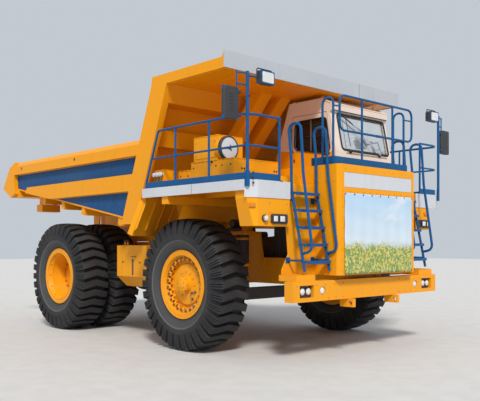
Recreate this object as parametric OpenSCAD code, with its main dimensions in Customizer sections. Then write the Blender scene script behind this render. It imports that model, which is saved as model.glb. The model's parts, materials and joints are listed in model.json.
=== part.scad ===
// Rigid mining dump truck, 55 t class, standing empty with its bed down.
// Millimetres. X points forward, Y to the driver's left, Z up, the ground is Z = 0.
// Modules place their solids from the rear axle; the origin lies below the middle of the box.

/* [Running gear] */
// Distance between the front and the rear axle
wheelbase = 4000; // [3900:10:4100]
// Outer radius of a tyre at its crown
tyre_r = 1080; // [1060:5:1090]
// Width of a tyre over its walls
tyre_w = 650; // [620:5:660]
// Radius of a rim's flange
rim_r = 550; // [540:1:555]
// Width of a rim between its flanges
rim_w = 430; // [420:1:440]
// Distance from the centre plane to the middle of a front tyre
front_track_half = 1900; // [1890:1:1910]
// Distance from the centre plane to the middle of an outer rear tyre
rear_track_half = 1940; // [1935:1:1950]
// Distance between the middles of two twin tyres
twin_pitch = 750; // [730:1:755]
// Number of lugs round a tyre
lug_count = 34; // [28:2:36]
// Depth of the groove between two lugs
lug_depth = 75; // [60:1:90]
// Distance from the centre plane to a kingpin
kingpin_y = 1350; // [1345:1:1355]
// Radius of a kingpin
kingpin_r = 60; // [50:1:70]
// Length of a steering arm
steer_arm = 550; // [500:5:560]

/* [Frame] */
// Distance from the centre plane to the outside of a frame rail
rail_y = 470; // [460:1:475]
// Thickness of a frame rail's box
rail_t = 140; // [120:1:150]
// Height of the frame rails' top behind the cab
rail_top = 1780; // [1760:1:1790]
// Height of the frame rails' top below the engine
rail_top_front = 1500; // [1480:1:1520]
// Height of the bed's pivot
pivot_z = 1950; // [1940:1:1960]
// Distance of the bed's pivot behind the rear axle
pivot_back = 1300; // [1290:1:1310]
// Radius of the bed's pivot pin
pivot_r = 60; // [50:1:70]

/* [Bed] */
// Width of the bed over its ribs
bed_w = 4500; // [4480:10:4520]
// Height of the bed's top rails
bed_top = 3560; // [3550:1:3570]
// Height of the floor's lower edge at the front
floor_front_z = 2180; // [2170:1:2190]
// Place of the floor's lower edge at the front
floor_front_x = 2450; // [2440:1:2460]
// Slope of the floor, rising to the rear
floor_slope = 10; // [9.5:0.1:10.5]
// Lean of the front wall and of its posts, forward at the top
wall_lean = 22.3; // [22:0.1:22.6]
// Distance of the tail's tip behind the rear axle
tail_back = 2500; // [2490:1:2510]
// Thickness of the bed's plates
plate_t = 30; // [20:1:40]
// Depth of the box ribs that stand out of the side plates
rib_d = 90; // [80:1:100]
// Place of the canopy's front edge
canopy_front = 5185; // [5170:1:5200]
// Height of the canopy's underside
canopy_z = 4390; // [4370:1:4400]
// Height of the canopy's side beams
canopy_beam_h = 165; // [150:1:180]
// Height of the white fascia on the canopy's front edge
fascia_h = 260; // [250:1:280]

/* [Front end] */
// Width over the decks
deck_w = 5000; // [4980:10:5020]
// Height of the decks' top
deck_z = 2650; // [2630:1:2660]
// Place of the decks' front face
deck_front = 5950; // [5930:1:5970]
// Place of the decks' rear end
deck_rear = 3420; // [3400:1:3440]
// Distance from the centre plane to a deck's inner edge
deck_inner = 1660; // [1640:1:1680]
// Length of the cut of a deck's front corner
corner_x = 80; // [60:1:100]
// Width of the cut of a deck's front corner
corner_y = 180; // [160:1:200]
// Height of a deck's front band
band_front_h = 250; // [240:1:270]
// Height of a deck's side band
band_side_h = 150; // [130:1:160]
// Width of the radiator shell
shell_w = 2020; // [2000:10:2040]
// Place of the radiator shell's front face
shell_front = 6360; // [6350:1:6370]
// Height of the radiator shell's top and of the cab's platform
shell_top = 2950; // [2940:1:2960]
// Height of the radiator shell's bottom
shell_bottom = 1270; // [1260:1:1290]
// Distance from the radiator shell's side to the radiator's opening
grille_side = 125; // [110:1:140]
// Width of the bumper
bumper_w = 3760; // [3740:10:3780]
// Place of the bumper's front face
bumper_front = 6220; // [6200:1:6240]
// Height of the bumper's top
bumper_top = 1200; // [1190:1:1210]
// Height of the bumper's underside
bumper_bottom = 900; // [890:1:920]
// Radius of the holes in the tow eyes
tow_r = 35; // [30:1:40]

/* [Cab] */
// Distance from the centre plane to the cab's right wall
cab_right = 220; // [200:1:240]
// Width of the cab
cab_w = 1640; // [1600:5:1660]
// Height of the cab's roof
cab_top = 4300; // [4290:1:4310]
// Thickness of the cab's walls and doors
cab_t = 55; // [45:1:60]

/* [Railings] */
// Height of the top rail above a deck
rail_h = 920; // [900:1:950]
// Radius of the railings' tube
tube_r = 19; // [16:1:22]

/* [Hoist] */
// Place of a hoist cylinder's lower pin
hoist_x = 1550; // [1540:1:1560]
// Height of a hoist cylinder's lower pin
hoist_z = 620; // [610:1:630]
// Place of a hoist cylinder's upper eye
hoist_top_x = 1750; // [1740:1:1760]
// Height of a hoist cylinder's upper eye
hoist_top_z = 2050; // [2040:1:2060]
// Distance from the centre plane to a hoist cylinder
hoist_y = 620; // [616:1:624]
// Radius of a hoist cylinder's barrel
hoist_r = 120; // [110:1:122]

/* [Clearances] */
// Radial clearance of a pin or a shaft in its bore
pin_gap = 0.3; // [0.2:0.1:0.5]
// Gap between a door and its frame
door_gap = 8; // [5:1:8]
// Joint between two pieces that are welded or bolted along a slanting face
seam = 0.2; // [0.1:0.1:0.4]

/* [Hidden] */

paint = "orange";
blue = "steelblue";
white = "whitesmoke";
cream = "wheat";
dark = "dimgray";

centre_x = (shell_front - tail_back) / 2;
tail_x = -tail_back;
axle_z = tyre_r;
pivot_x = -pivot_back;
front_x = wheelbase;

// The floor's underside and the front wall's rear face as lines of the side view
function floor_z(x) = floor_front_z + (floor_front_x - x) * tan(floor_slope);
function wall_x(z) = floor_front_x + (z - floor_front_z) * tan(wall_lean);

// Small helpers: boxes by their extents, outlines of the side, front and top view, rods and pins
module box(x, y, z)
  translate([x[0], y[0], z[0]]) cube([x[1] - x[0], y[1] - y[0], z[1] - z[0]]);
module side_plate(outline, y)
  translate([0, y[1], 0]) rotate([90, 0, 0]) linear_extrude(y[1] - y[0]) polygon(outline);
module front_plate(outline, x)
  translate([x[0], 0, 0]) multmatrix([[0, 0, 1, 0], [1, 0, 0, 0], [0, 1, 0, 0]])
    linear_extrude(x[1] - x[0]) polygon(outline);
module top_plate(outline, z)
  translate([0, 0, z[0]]) linear_extrude(z[1] - z[0]) polygon(outline);
module cross_pin(x, z, r, y)
  translate([x, y[0], z]) rotate([-90, 0, 0]) cylinder(r = r, h = y[1] - y[0], $fn = 32);
module both_sides() {
  children();
  mirror([0, 1, 0]) children();
}
module on_side(left) mirror([0, left ? 0 : 1, 0]) children();
module place() translate([-centre_x, 0, 0]) children();
function unit(v) = v / norm(v);
module rod(p, q, r) {
  d = unit(q - p);
  translate(p) rotate([0, acos(d.z), atan2(d.y, d.x)]) cylinder(r = r, h = norm(q - p), $fn = 20);
}
// A tube swept along points, with a round bend at each inner point. Its rings keep their turn from
// one to the next: each takes the last one's side vector, made square to its own direction.
pipe_sides = 8;
bend_step = 30;
function turn(a, b, c) = acos(min(1, unit(b - a) * unit(c - b)));
function bent(a, b, c, bend) = let(
    d = unit(b - a), e = unit(c - b), angle = turn(a, b, c), n = unit(e - d * (e * d)),
    centre = b - d * (bend * tan(angle / 2)) + n * bend, steps = ceil(angle / bend_step))
  [for (k = [0 : steps]) let(w = angle * k / steps) centre - n * (bend * cos(w)) + d * (bend * sin(w))];
function route(points, bend) = let(n = len(points))
  [points[0], for (i = [1 : 1 : n - 2]) each bent(points[i - 1], points[i], points[i + 1], bend),
    points[n - 1]];
function heading(path, i) = let(n = len(path) - 1)
  unit((i < n ? unit(path[i + 1] - path[i]) : [0, 0, 0]) + (i > 0 ? unit(path[i] - path[i - 1]) : [0, 0, 0]));
function squared(u, t) = unit(u - t * (u * t));
module pipe(points, r, bend) {
  path = route(points, bend);
  n = len(path);
  first = heading(path, 0);
  side = squared(abs(first.z) > 0.9 ? [1, 0, 0] : [0, 0, 1], first);
  rings = [for (i = 0, u = side; i < n; i = i + 1, u = i < n ? squared(u, heading(path, i)) : u)
    let(v = cross(heading(path, i), u)) each
      [for (k = [0 : pipe_sides - 1]) let(a = 360 * k / pipe_sides) path[i] + (u * cos(a) + v * sin(a)) * r]];
  polyhedron(rings, [[for (k = [0 : pipe_sides - 1]) k],
    for (i = [0 : n - 2], k = [0 : pipe_sides - 1]) let(p = i * pipe_sides, q = (k + 1) % pipe_sides)
      [p + k, p + pipe_sides + k, p + pipe_sides + q, p + q],
    [for (k = [pipe_sides - 1 : -1 : 0]) (n - 1) * pipe_sides + k]]);
}

// Frame: two box rails with the bed's pivot lugs, joined by cross members
rail_in = rail_y - rail_t;
rail_end = -1650;
rail_drop = 2950;
rail_low_front = 1050;
strut_y = 780;
strut_top = 1900;
hanger_t = 18;
portal_z = [deck_z - band_side_h - 120, deck_z - band_side_h];
module frame() color(paint) both_sides() difference() {
  union() {
    side_plate([[rail_end, 1500], [rail_end, rail_top], [rail_drop, rail_top],
      [rail_drop + 400, rail_top_front], [bumper_front - 170, rail_top_front],
      [bumper_front - 170, rail_low_front], [rail_drop + 350, rail_low_front],
      [rail_drop - 50, 1180], [900, 1200], [600, 1470], [-700, 1470]], [rail_in, rail_y]);
    side_plate([[pivot_x - 260, rail_top], [pivot_x - 110, pivot_z + 60],
      [pivot_x + 110, pivot_z + 60], [pivot_x + 260, rail_top]], [rail_in, rail_y]);
    cross_pin(pivot_x, pivot_z, 115, [rail_in, rail_y]);
  }
  cross_pin(pivot_x, pivot_z, pivot_r + pin_gap, [rail_in - 1, rail_y + 1]);
}
module cross_members() color(paint) {
  box([5600, 5700], [60 - shell_w / 2, shell_w / 2 - 60], [rail_top_front, rail_top_front + 60]);
  for (x = [-1600, 1000, 2080]) box([x, x + 160], [-rail_in, rail_in], [1500, 1700]);
  box([3900, 4100], [-rail_in, rail_in], [1080, 1180]);
  box([bumper_front - 320, bumper_front - 190], [-rail_in, rail_in], [1060, 1400]);
}
// Hangers below the rails, each with the lower pin of a hoist cylinder
module hoist_hangers() color(paint) both_sides() {
  side_plate([[hoist_x - 160, 1400], [hoist_x + 160, 1400], [hoist_x + 70, hoist_z - 60],
    [hoist_x - 70, hoist_z - 60]], [rail_y, rail_y + hanger_t]);
  cross_pin(hoist_x, hoist_z, 100, [rail_y, rail_y + hanger_t]);
  cross_pin(hoist_x, hoist_z, 45, [rail_y + hanger_t + seam, hoist_y + 85]);
  cross_pin(hoist_x, hoist_z, 60, [hoist_y + 75.5, hoist_y + 95]);
}
// Towers over the suspension struts, and the beam across them that carries the decks
module strut_towers() color(paint) {
  both_sides() {
    box([front_x - 160, front_x + 160], [rail_y, strut_y + 130], [strut_top, strut_top + 60]);
    side_plate([[front_x - 160, strut_top], [front_x + 160, strut_top], [front_x + 260, 1300],
      [front_x - 260, 1300]], [rail_y, rail_y + 30]);
    side_plate([[-560, strut_top - 60], [-240, strut_top - 60], [-160, 1500], [-640, 1500]],
      [rail_y, rail_y + 30]);
    box([-560, -240], [rail_y, 720], [strut_top - 60, strut_top]);
    box([front_x - 80, front_x + 80], [600, 720], [strut_top + 60, portal_z[0]]);
    box([front_x - 80, front_x + 80], [600, 700], [portal_z[1], shell_top - sheet]);
  }
  box([front_x - 80, front_x + 80], [20 - deck_w / 2, deck_w / 2 - 20], portal_z);
}

// Engine, gearbox and propeller shaft, plain blocks at their real places
ball_r = 380;
module powertrain() color(dark) {
  box([4330, 5350], [-rail_in, rail_in], [1190, rail_top_front]);
  box([4330, 5350], [-320, 320], [rail_top_front, 2420]);
  box([2450, 3650], [-rail_in, rail_in], [1200, 1700]);
  shaft = unit([2450, 0, 270]);
  rod([0, 0, axle_z] + shaft * (ball_r + 0.3), [2470, 0, axle_z + 272.2], 75);
}

// Bumper with its lamp recesses and two tow eyes below it
module bumper() color(paint) {
  difference() {
    box([bumper_front - 170, bumper_front], [-bumper_w / 2, bumper_w / 2],
      [bumper_bottom, bumper_top]);
    both_sides() {
      box([bumper_front - 60, bumper_front + 1], [1430, 1740], [bumper_bottom + 60, bumper_top - 60]);
      translate([bumper_front - 40, 1230, (bumper_bottom + bumper_top) / 2]) rotate([0, 90, 0])
        cylinder(r = 62, h = 41, $fn = 40);
    }
  }
  both_sides() difference() {
    box([bumper_front - 170, bumper_front + 90], [560, 620], [bumper_bottom - 130, bumper_bottom]);
    cross_pin(bumper_front + 30, bumper_bottom - 70, tow_r, [559, 621]);
  }
}

// Radiator shell: a hood open at the rear and below, with the radiator's opening in front
shell_rear = 5450;
shell_t = 60;
opening_low = 1300;
opening_high = 2500;
grille_w = shell_w - 2 * grille_side;
plate_half = shell_w / 2 - 110;
plate_z = [2600, 2830];
module radiator_shell() color(paint) difference() {
  top_plate([[shell_rear, -shell_w / 2], [shell_front - 60, -shell_w / 2],
    [shell_front, -shell_w / 2 + 40], [shell_front, shell_w / 2 - 40],
    [shell_front - 60, shell_w / 2], [shell_rear, shell_w / 2]], [shell_bottom, shell_top]);
  box([shell_rear - 1, shell_front - shell_t], [-shell_w / 2 + shell_t, shell_w / 2 - shell_t],
    [shell_bottom - 1, shell_top - shell_t]);
  box([shell_front - shell_t - 1, shell_front + 1], [-grille_w / 2, grille_w / 2],
    [opening_low, opening_high]);
  box([shell_front - 12, shell_front + 1], [-plate_half, plate_half], plate_z);
}

// Grille: a frame with upright slats, set back in the opening
slat_pitch = 70;
module radiator_grille() color(dark) {
  x = [shell_front - 100, shell_front - shell_t];
  difference() {
    box(x, [-grille_w / 2 - 9.7, grille_w / 2 + 9.7], [opening_low - 20, opening_high + 20]);
    box([x[0] - 1, x[1] + 1], [-grille_w / 2 + 30, grille_w / 2 - 30],
      [opening_low + 30, opening_high - 30]);
  }
  for (i = [-12 : 12])
    box(x, [i * slat_pitch - 8, i * slat_pitch + 8], [opening_low + 30, opening_high - 30]);
}

// A deck's front corner, moved outwards by t: its end on the front face and on the side
corner_n = unit([corner_y, corner_x]);
function corner_out(t) = [
  [deck_front + t, deck_w / 2 - corner_y + t * (1 - corner_n.x) / corner_n.y],
  [deck_front - corner_x + t * (1 - corner_n.y) / corner_n.x, deck_w / 2 + t]];
module on_corner() translate([deck_front, deck_w / 2 - corner_y, 0])
  rotate([0, 0, atan2(corner_y, -corner_x)]) children();

// White bands round the decks and the blank plate above the grille
band_t = 12;
module white_panels() color(white) {
  inner = corner_out(0);
  outer = corner_out(band_t);
  both_sides() {
    top_plate([[deck_rear, deck_w / 2], inner[1], outer[1], [deck_rear, deck_w / 2 + band_t]],
      [deck_z - band_side_h, deck_z]);
    top_plate([[deck_front, deck_inner], [deck_front + band_t, deck_inner], outer[0], outer[1],
      inner[1], inner[0]], [deck_z - band_front_h, deck_z]);
  }
  box([shell_front - 12, shell_front - 2], [4 - plate_half, plate_half - 4],
    [plate_z[0] + 4, plate_z[1] - 4]);
}

// Deck: top sheet, front corner box with the lamp apron, side sheet and the mudguard behind the wheel
sheet = 12;
apron_low = 2000;
apron_d = 300;
// The apron's outer edge lies at apron_out[0] below and at apron_out[1] above
module deck(apron_out) color(paint) {
  inner_rear = deck_rear - (deck_w / 2 - deck_inner) * guard_skew;
  rim_z = deck_z - band_side_h;
  outline = [[inner_rear, deck_inner], [deck_rear, deck_w / 2], corner_out(0)[1], corner_out(0)[0],
    [deck_front, deck_inner]];
  top_plate(outline, [deck_z - sheet, deck_z]);
  difference() {
    top_plate(outline, [rim_z, deck_z - sheet]);
    top_plate([[inner_rear + sheet * 1.5, deck_inner + sheet], [deck_rear + sheet, deck_w / 2 - sheet],
      corner_out(-sheet)[1], corner_out(-sheet)[0], [deck_front - sheet, deck_inner + sheet]],
      [rim_z - 1, deck_z - sheet + 1]);
  }
  difference() {
    apron(apron_out, 0);
    apron(apron_out, sheet);
  }
  mudguard();
}
module apron(out, t) intersection() {
  top_plate([[deck_front - apron_d - t, deck_inner + t], [deck_front - apron_d - t, deck_w / 2],
    corner_out(-t)[1], corner_out(-t)[0], [deck_front - t, deck_inner + t]],
    [apron_low + t, deck_z - band_side_h + t]);
  front_plate([[deck_inner + t, apron_low + t], [out[0] - t, apron_low + t],
    [out[1] - t, deck_z - band_front_h - 10], [out[1] - t, deck_z], [deck_inner + t, deck_z]],
    [deck_front - apron_d - 2 * t - 1, deck_front + 1]);
}
// The mudguard leans forward at its top and outwards at its outer edge, up to the deck's rear rim
guard_low = 1880;
guard_skew = 0.357;
guard_out = 2450;
guard_w = 1220;
module mudguard() {
  rise = deck_z - band_side_h - guard_low;
  turn_z = atan2(1, guard_skew);
  lean = atan(292 * sin(turn_z) / rise);
  top = deck_rear - (deck_w / 2 - guard_out) * guard_skew + 6;
  translate([top, guard_out, deck_z - band_side_h])
    rotate([0, 0, turn_z]) rotate([lean, 0, 0]) translate([-guard_w, 0, -rise / cos(lean)])
      mirror([0, 1, 0]) {
        cube([guard_w, sheet, rise / cos(lean) + 20]);
        for (k = [0.25, 0.5, 0.75]) translate([guard_w * k, -50, 0]) cube([14, 50, rise / cos(lean) - 60]);
        translate([guard_w - sheet, -90, 0]) cube([sheet, 90, rise / cos(lean) - 60]);
      }
}

// Panels beside the radiator, behind the ladders, with the step boxes above the bumper
panel_x = 5840;
module front_panels() color(paint) {
  both_sides() {
    front_plate([[shell_w / 2, bumper_top], [1730, bumper_top], [1730, 1360], [1590, 1590],
      [1630, 1990], [deck_inner - 10, deck_z - 20], [shell_w / 2, deck_z - 20]],
      [panel_x, panel_x + sheet]);
    box([panel_x + sheet, bumper_front - 20], [1380, 1790], [bumper_top, bumper_top + 90]);
    box([3680, panel_x], [shell_w / 2, deck_inner], [deck_z - 20, deck_z]);
  }
  translate([5200 + seam, -1330, deck_z]) rotate([0, 90, 0]) difference() {
    cylinder(r = 150, h = 550, $fn = 48);
    translate([0, -160, -1]) cube([160, 320, 552]);
  }
}

// Platform that carries the cab, over the engine
module platform() color(paint) difference() {
  box([3680, shell_rear], [-shell_w / 2, deck_inner], [deck_z, shell_top]);
  box([3680 + sheet, shell_rear + 1], [-shell_w / 2 + sheet, deck_inner - sheet],
    [deck_z - 1, shell_top - sheet]);
}

// Ladders in front of the panels, with tall looped handrails that reach to the shell's front
ladder_in = shell_w / 2 + 30;
ladder_w = 560;
ladder_foot = [6190, 1340];
ladder_head = [5930, 2570];
stile_r = tube_r + 3;
loop_top = 3520;
handrail_low = [shell_front - stile_r, 1640];
handrail_high = [6160, 2790];
function ladder_x(z) = ladder_foot.x
  + (ladder_head.x - ladder_foot.x) * (z - ladder_foot[1]) / (ladder_head[1] - ladder_foot[1]);
module ladders() color(blue) both_sides() {
  for (y = [ladder_in, ladder_in + ladder_w]) {
    pipe([[ladder_foot.x, y, ladder_foot[1]], [ladder_head.x, y, ladder_head[1]],
      [ladder_head.x - 5, y, 3020], [ladder_head.x - 60, y, loop_top], [handrail_high.x - 50, y, loop_top],
      [handrail_high.x, y, handrail_high[1]], [handrail_low.x, y, handrail_low[1]],
      [ladder_x(handrail_low[1] - 40), y, handrail_low[1] - 40]], stile_r, 100);
    for (z = [1500, 2400]) rod([ladder_x(z), y, z], [panel_x + sheet, y, z], tube_r - 3);
  }
  for (z = [1480 : 255 : 2500])
    box([ladder_x(z) - 38, ladder_x(z) + 60], [ladder_in, ladder_in + ladder_w], [z - 12, z + 12]);
}

// Railings round both decks, with their toeboards
toe_h = 100;
toe_t = 10;
railing_in = 30;
railing_y = deck_w / 2 - railing_in;
railing_front = deck_front - railing_in;
railing_rear = deck_rear + 60;
railing_mid = 480;
railing_end_y = deck_inner + 190;
module deck_railings() color(blue) both_sides() {
  top = deck_z + rail_h;
  mid = deck_z + railing_mid;
  bevel = corner_out(-railing_in);
  toe = corner_out(toe_t - railing_in);
  pipe([[railing_rear, railing_y, deck_z], [railing_rear, railing_y, deck_z + 90],
    [railing_rear + 330, railing_y, top], [bevel[1].x, railing_y, top],
    [railing_front, bevel[0][1], top], [railing_front, railing_end_y, top],
    [railing_front, railing_end_y, deck_z]], tube_r, 60);
  pipe([[railing_rear + 155, railing_y, mid], [bevel[1].x, railing_y, mid],
    [railing_front, bevel[0][1], mid], [railing_front, railing_end_y, mid]], tube_r - 3, 40);
  for (x = [4260, 5070]) rod([x, railing_y, deck_z], [x, railing_y, top], tube_r - 1.5);
  top_plate([[railing_rear, railing_y], bevel[1], bevel[0], [railing_front, railing_end_y],
    [railing_front + toe_t, railing_end_y], toe[0], toe[1], [railing_rear, railing_y + toe_t]],
    [deck_z, deck_z + toe_h]);
}

// Railing and toeboard on the radiator shell, with a tall loop at each end
front_rail_x = 6200;
front_rail_y = [-810, 1150];
front_rail_z = [shell_top + 540, shell_top + 1080];
loop_x = [5970, 6180];
module front_railing() color(blue) {
  mid_y = (front_rail_y[0] + front_rail_y[1]) / 2;
  loop_z = front_rail_z[1] - 50;
  link_z = front_rail_z[1] - 180;
  pipe([[front_rail_x, mid_y - 5, front_rail_z[0]], [front_rail_x, front_rail_y[0], front_rail_z[0]],
    [front_rail_x, front_rail_y[0], front_rail_z[1]], [front_rail_x, front_rail_y[1], front_rail_z[1]],
    [front_rail_x, front_rail_y[1], front_rail_z[0]], [front_rail_x, mid_y + 5, front_rail_z[0]]],
    tube_r, 110);
  rod([front_rail_x, mid_y - 40, front_rail_z[0]], [front_rail_x, mid_y + 40, front_rail_z[0]], stile_r);
  for (y = [-250, 580]) rod([front_rail_x, y, shell_top], [front_rail_x, y, front_rail_z[1]], tube_r - 1.5);
  for (end = [[-(shell_w / 2 - 70), front_rail_y[0]], [shell_w / 2 - 70, front_rail_y[1]]]) {
    pipe([[loop_x[1], end[0], shell_top], [loop_x[1], end[0], loop_z], [loop_x[0], end[0], loop_z],
      [loop_x[0], end[0], shell_top]], tube_r, 95);
    rod([loop_x[1], end[0], link_z], [front_rail_x, end[1], link_z], tube_r - 7);
  }
  box([front_rail_x, front_rail_x + toe_t], [-(shell_w / 2 - 70), shell_w / 2 - 10],
    [shell_top, shell_top + 130]);
  box([5750, front_rail_x + toe_t], [-(shell_w / 2 - 70) - toe_t, -(shell_w / 2 - 70)],
    [shell_top, shell_top + 130]);
}

// Mirror posts on the decks' front corners, with mirror and floodlight
mirror_along = 0.85;
mirror_r = 24;
mirror_top = 4150;
module mirrors() color(blue) both_sides() {
  along = mirror_along * norm([corner_x, corner_y]);
  out = band_t + mirror_r + 2;
  n = [corner_n.x, corner_n.y];
  post = [deck_front - mirror_along * corner_x + n.x * out,
    deck_w / 2 - corner_y + mirror_along * corner_y + n[1] * out];
  translate([post.x, post[1], deck_z - 100]) cylinder(r = mirror_r, h = mirror_top - deck_z + 100, $fn = 20);
  on_corner() box([along - 36, along + 36], [-out, -band_t - seam], [deck_z - 100, deck_z + 120]);
  for (z = [mirror_top - 30, mirror_top - 190])
    rod([post.x, post[1], z], [post.x - 40, post[1] + 180, z], 11);
  rod([post.x - 40, post[1] + 170, mirror_top - 10], [post.x - 40, post[1] + 170, 3700], 11);
  box([post.x - 70, post.x - 20], [post[1] + 150, post[1] + 420], [3460, 3900]);
  rod([post.x, post[1], mirror_top - 60], [post.x + 50, post[1] - 290, mirror_top - 60], 14);
  box([post.x + 10, post.x + 110], [post[1] - 430, post[1] - 170], [mirror_top - 150, mirror_top + 30]);
}

// Headlamp clusters on both aprons; a round lamp and a side marker on the right one
module headlamps() color(white) {
  both_sides() box([deck_front + 0.3, deck_front + 25], [deck_w / 2 - 770, deck_w / 2 - 440], [2040, 2170]);
  mirror([0, 1, 0]) {
    translate([deck_front + 0.3, deck_w / 2 - 310, 2110]) rotate([0, 90, 0])
      cylinder(r = 45, h = 22, $fn = 32);
    on_corner() box([30, 130], [-14, -seam], [2260, 2320]);
  }
}

// Lockers on the right deck and the battery boxes on the left one
locker_out = deck_w / 2 - 420;
locker_top = deck_z + 390;
module deck_boxes() color(paint) {
  box([4170, 5200], [-locker_out, -shell_w / 2 - 70], [deck_z, locker_top]);
  box([3840, 4170], [-locker_out, -shell_w / 2 - 70], [deck_z, deck_z + 280]);
  box([3550, 3800], [150 - deck_w / 2, 350 - deck_w / 2], [deck_z, deck_z + 300]);
  box([3900, 5300], [deck_w / 2 - 370, deck_w / 2 - 120], [deck_z, deck_z + 180]);
}

// Air cleaner: a box on the lockers with a round intake facing forward
cleaner_front = 4820;
module air_intake() color(paint) {
  box([4240, cleaner_front], [-locker_out, 530 - locker_out], [locker_top, locker_top + 390]);
  translate([cleaner_front, 120 - locker_out, locker_top + 185]) rotate([0, 90, 0])
    cylinder(r = 180, h = 130, $fn = 64);
}

// Cab: a hollow shell with its window and door openings
cab_left = cab_right + cab_w;
cab_low = shell_top;
screen_foot = [5290, 3370];
screen_head = [5150, 4050];
cab_side = [[3740, cab_low], [4190, cab_top], [4970, cab_top], [5205, cab_top - 110],
  [5200, cab_top - 225], screen_head, screen_foot, [5320, cab_low]];
cab_hollow = [[3740 + 80, cab_low + cab_t], [4190 + 40, cab_top - cab_t], [4950, cab_top - cab_t],
  [5130, cab_top - 150], [screen_head.x - cab_t, screen_head[1]], [screen_foot.x - cab_t, screen_foot[1]],
  [5320 - cab_t, cab_low + cab_t]];
door_rear = 4270;
door_low = cab_low + 70;
door_high = 4060;
door_side = [[door_rear, door_low], [5235, door_low], [5225, 3370], [5095, door_high],
  [door_rear, door_high]];
window_side = [[4330, 3510], [4380, 3440], [5090, 3320], [5170, 3400], [5085, 3930], [5030, 3970],
  [4420, 3960], [4345, 3900]];
screen_y = [cab_right + 190, cab_left - 75];
screen_z = [3400, 4030];
rear_y = [cab_right + 200, cab_left - 200];
rear_z = [3500, 4000];
hinge_z = [cab_low + 210, door_high - 260];
hinge_h = 60;
hinge_r = 16;
hinge_off = 20;
hinge_pin_r = 9;
// One half of the hinges: the lower half carries the pin, the upper half turns on it
module hinges(y, out, upper) for (z = hinge_z) translate([door_rear, y + out * hinge_off, z]) {
  leaf = upper ? [0, 70] : [-70, 0];
  low = upper ? hinge_h + 2 : 0;
  side = [-hinge_off, 6 - hinge_off];
  if (!upper) cylinder(r = hinge_pin_r, h = 2 * hinge_h + 2, $fn = 32);
  difference() {
    union() {
      translate([0, 0, low]) cylinder(r = hinge_r, h = hinge_h, $fn = 32);
      box(upper ? [0, 70] : [-70, 0], out > 0 ? side : [-side[1], -side[0]], [low, low + hinge_h]);
    }
    if (upper) translate([0, 0, low - 1]) cylinder(r = hinge_pin_r + pin_gap, h = hinge_h + 2, $fn = 32);
  }
}
module cab_shell() color(cream) {
  cab_walls();
  hinges(cab_right, -1, false);
  hinges(cab_left, 1, false);
}
module cab_walls() difference() {
  side_plate(cab_side, [cab_right, cab_left]);
  side_plate(cab_hollow, [cab_right + cab_t, cab_left - cab_t]);
  side_plate(door_side, [cab_right - 1, cab_left + 1]);
  box([5050, 5400], screen_y, screen_z);
  box([3700, 4190], rear_y, rear_z);
}
// Fixed panes: windscreen and rear window
glass_t = 8;
pane_gap = 0.3;
// A pane leans with its wall: its ends along the wall, for faces that lie at x[0] and x[1] from it
function along_wall(z, foot, lean, x) = [
  (z[0] + pane_gap - foot + max(x * sin(lean))) / cos(lean),
  (z[1] - pane_gap - foot + min(x * sin(lean))) / cos(lean)];
module cab_glass() color("lightblue", 0.5) {
  lean = atan((screen_foot.x - screen_head.x) / (screen_head[1] - screen_foot[1]));
  translate([screen_foot.x, 0, screen_foot[1]]) rotate([0, -lean, 0])
    box([-30, -30 + glass_t], [screen_y[0] + pane_gap, screen_y[1] - pane_gap],
      along_wall(screen_z, screen_foot[1], lean, [30, 30 - glass_t]));
  rear = atan(450 / (cab_top - cab_low));
  translate([3740, 0, cab_low]) rotate([0, rear, 0])
    box([25, 25 + glass_t], [rear_y[0] + pane_gap, rear_y[1] - pane_gap],
      along_wall(rear_z, cab_low, rear, [25, 25 + glass_t]));
}

// Door with its window, hinged at its rear edge
function shrink(p, centre, gap) = p + gap * [sign(centre.x - p.x), sign(centre.y - p.y)];
door_centre = [4700, 3500];
module cab_door(y, out) color(cream) {
  difference() {
    side_plate([for (p = door_side) shrink(p, door_centre, door_gap)], y);
    side_plate(window_side, [y[0] - 1, y[1] + 1]);
  }
  hinges(out > 0 ? y[1] : y[0], out, true);
}
module door_glass(y) color("lightblue", 0.5)
  side_plate([for (p = window_side) shrink(p, door_centre, 0.3)],
    [(y[0] + y[1] - glass_t) / 2, (y[0] + y[1] + glass_t) / 2]);

// Driver's seat on its pedestal
module driver_seat() color(dark) {
  y = cab_right + cab_w / 2;
  box([4260, 4600], [y - 170, y + 170], [cab_low + cab_t, cab_low + 320]);
  box([4200, 4660], [y - 250, y + 250], [cab_low + 320, cab_low + 440]);
  side_plate([[4200, cab_low + 440], [4350, cab_low + 440], [4330, cab_low + 1040],
    [4210, cab_low + 1040]], [y - 240, y + 240]);
}

// Dashboard with the steering wheel on its column
module dashboard() color(dark) {
  y = cab_right + cab_w / 2;
  side_plate([[5060, cab_low + cab_t], [5250, cab_low + cab_t], [5225, 3385], [5010, 3385]],
    [cab_right + 100, cab_left - 100]);
  rod([5060, y, 3300], [4880, y, 3520], 30);
  translate([4870, y, 3532]) rotate([0, -39, 0]) {
    rotate_extrude($fn = 48) translate([210, 0]) circle(16, $fn = 16);
    for (a = [90, 210, 330]) rotate([0, 0, a]) translate([0, -14, -7]) cube([210, 28, 14]);
    translate([0, 0, -20]) cylinder(r = 50, h = 34, $fn = 32);
  }
}

// Fuel tank with a folded lower edge, on the right
tank_in = 790;
tank = [[tank_in, 930], [1580, 930], [1800, 1130], [1800, 1710], [tank_in, 1710]];
module fuel_tank() color(paint) mirror([0, 1, 0]) {
  front_plate(tank, [1570, 2530]);
  for (x = [1700, 1790]) translate([x, 1700, 1710]) cylinder(r = 20, h = 90, $fn = 24);
  box([2050, 2450], [rail_y, tank_in - seam], [1560, 1640]);
}
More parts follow.
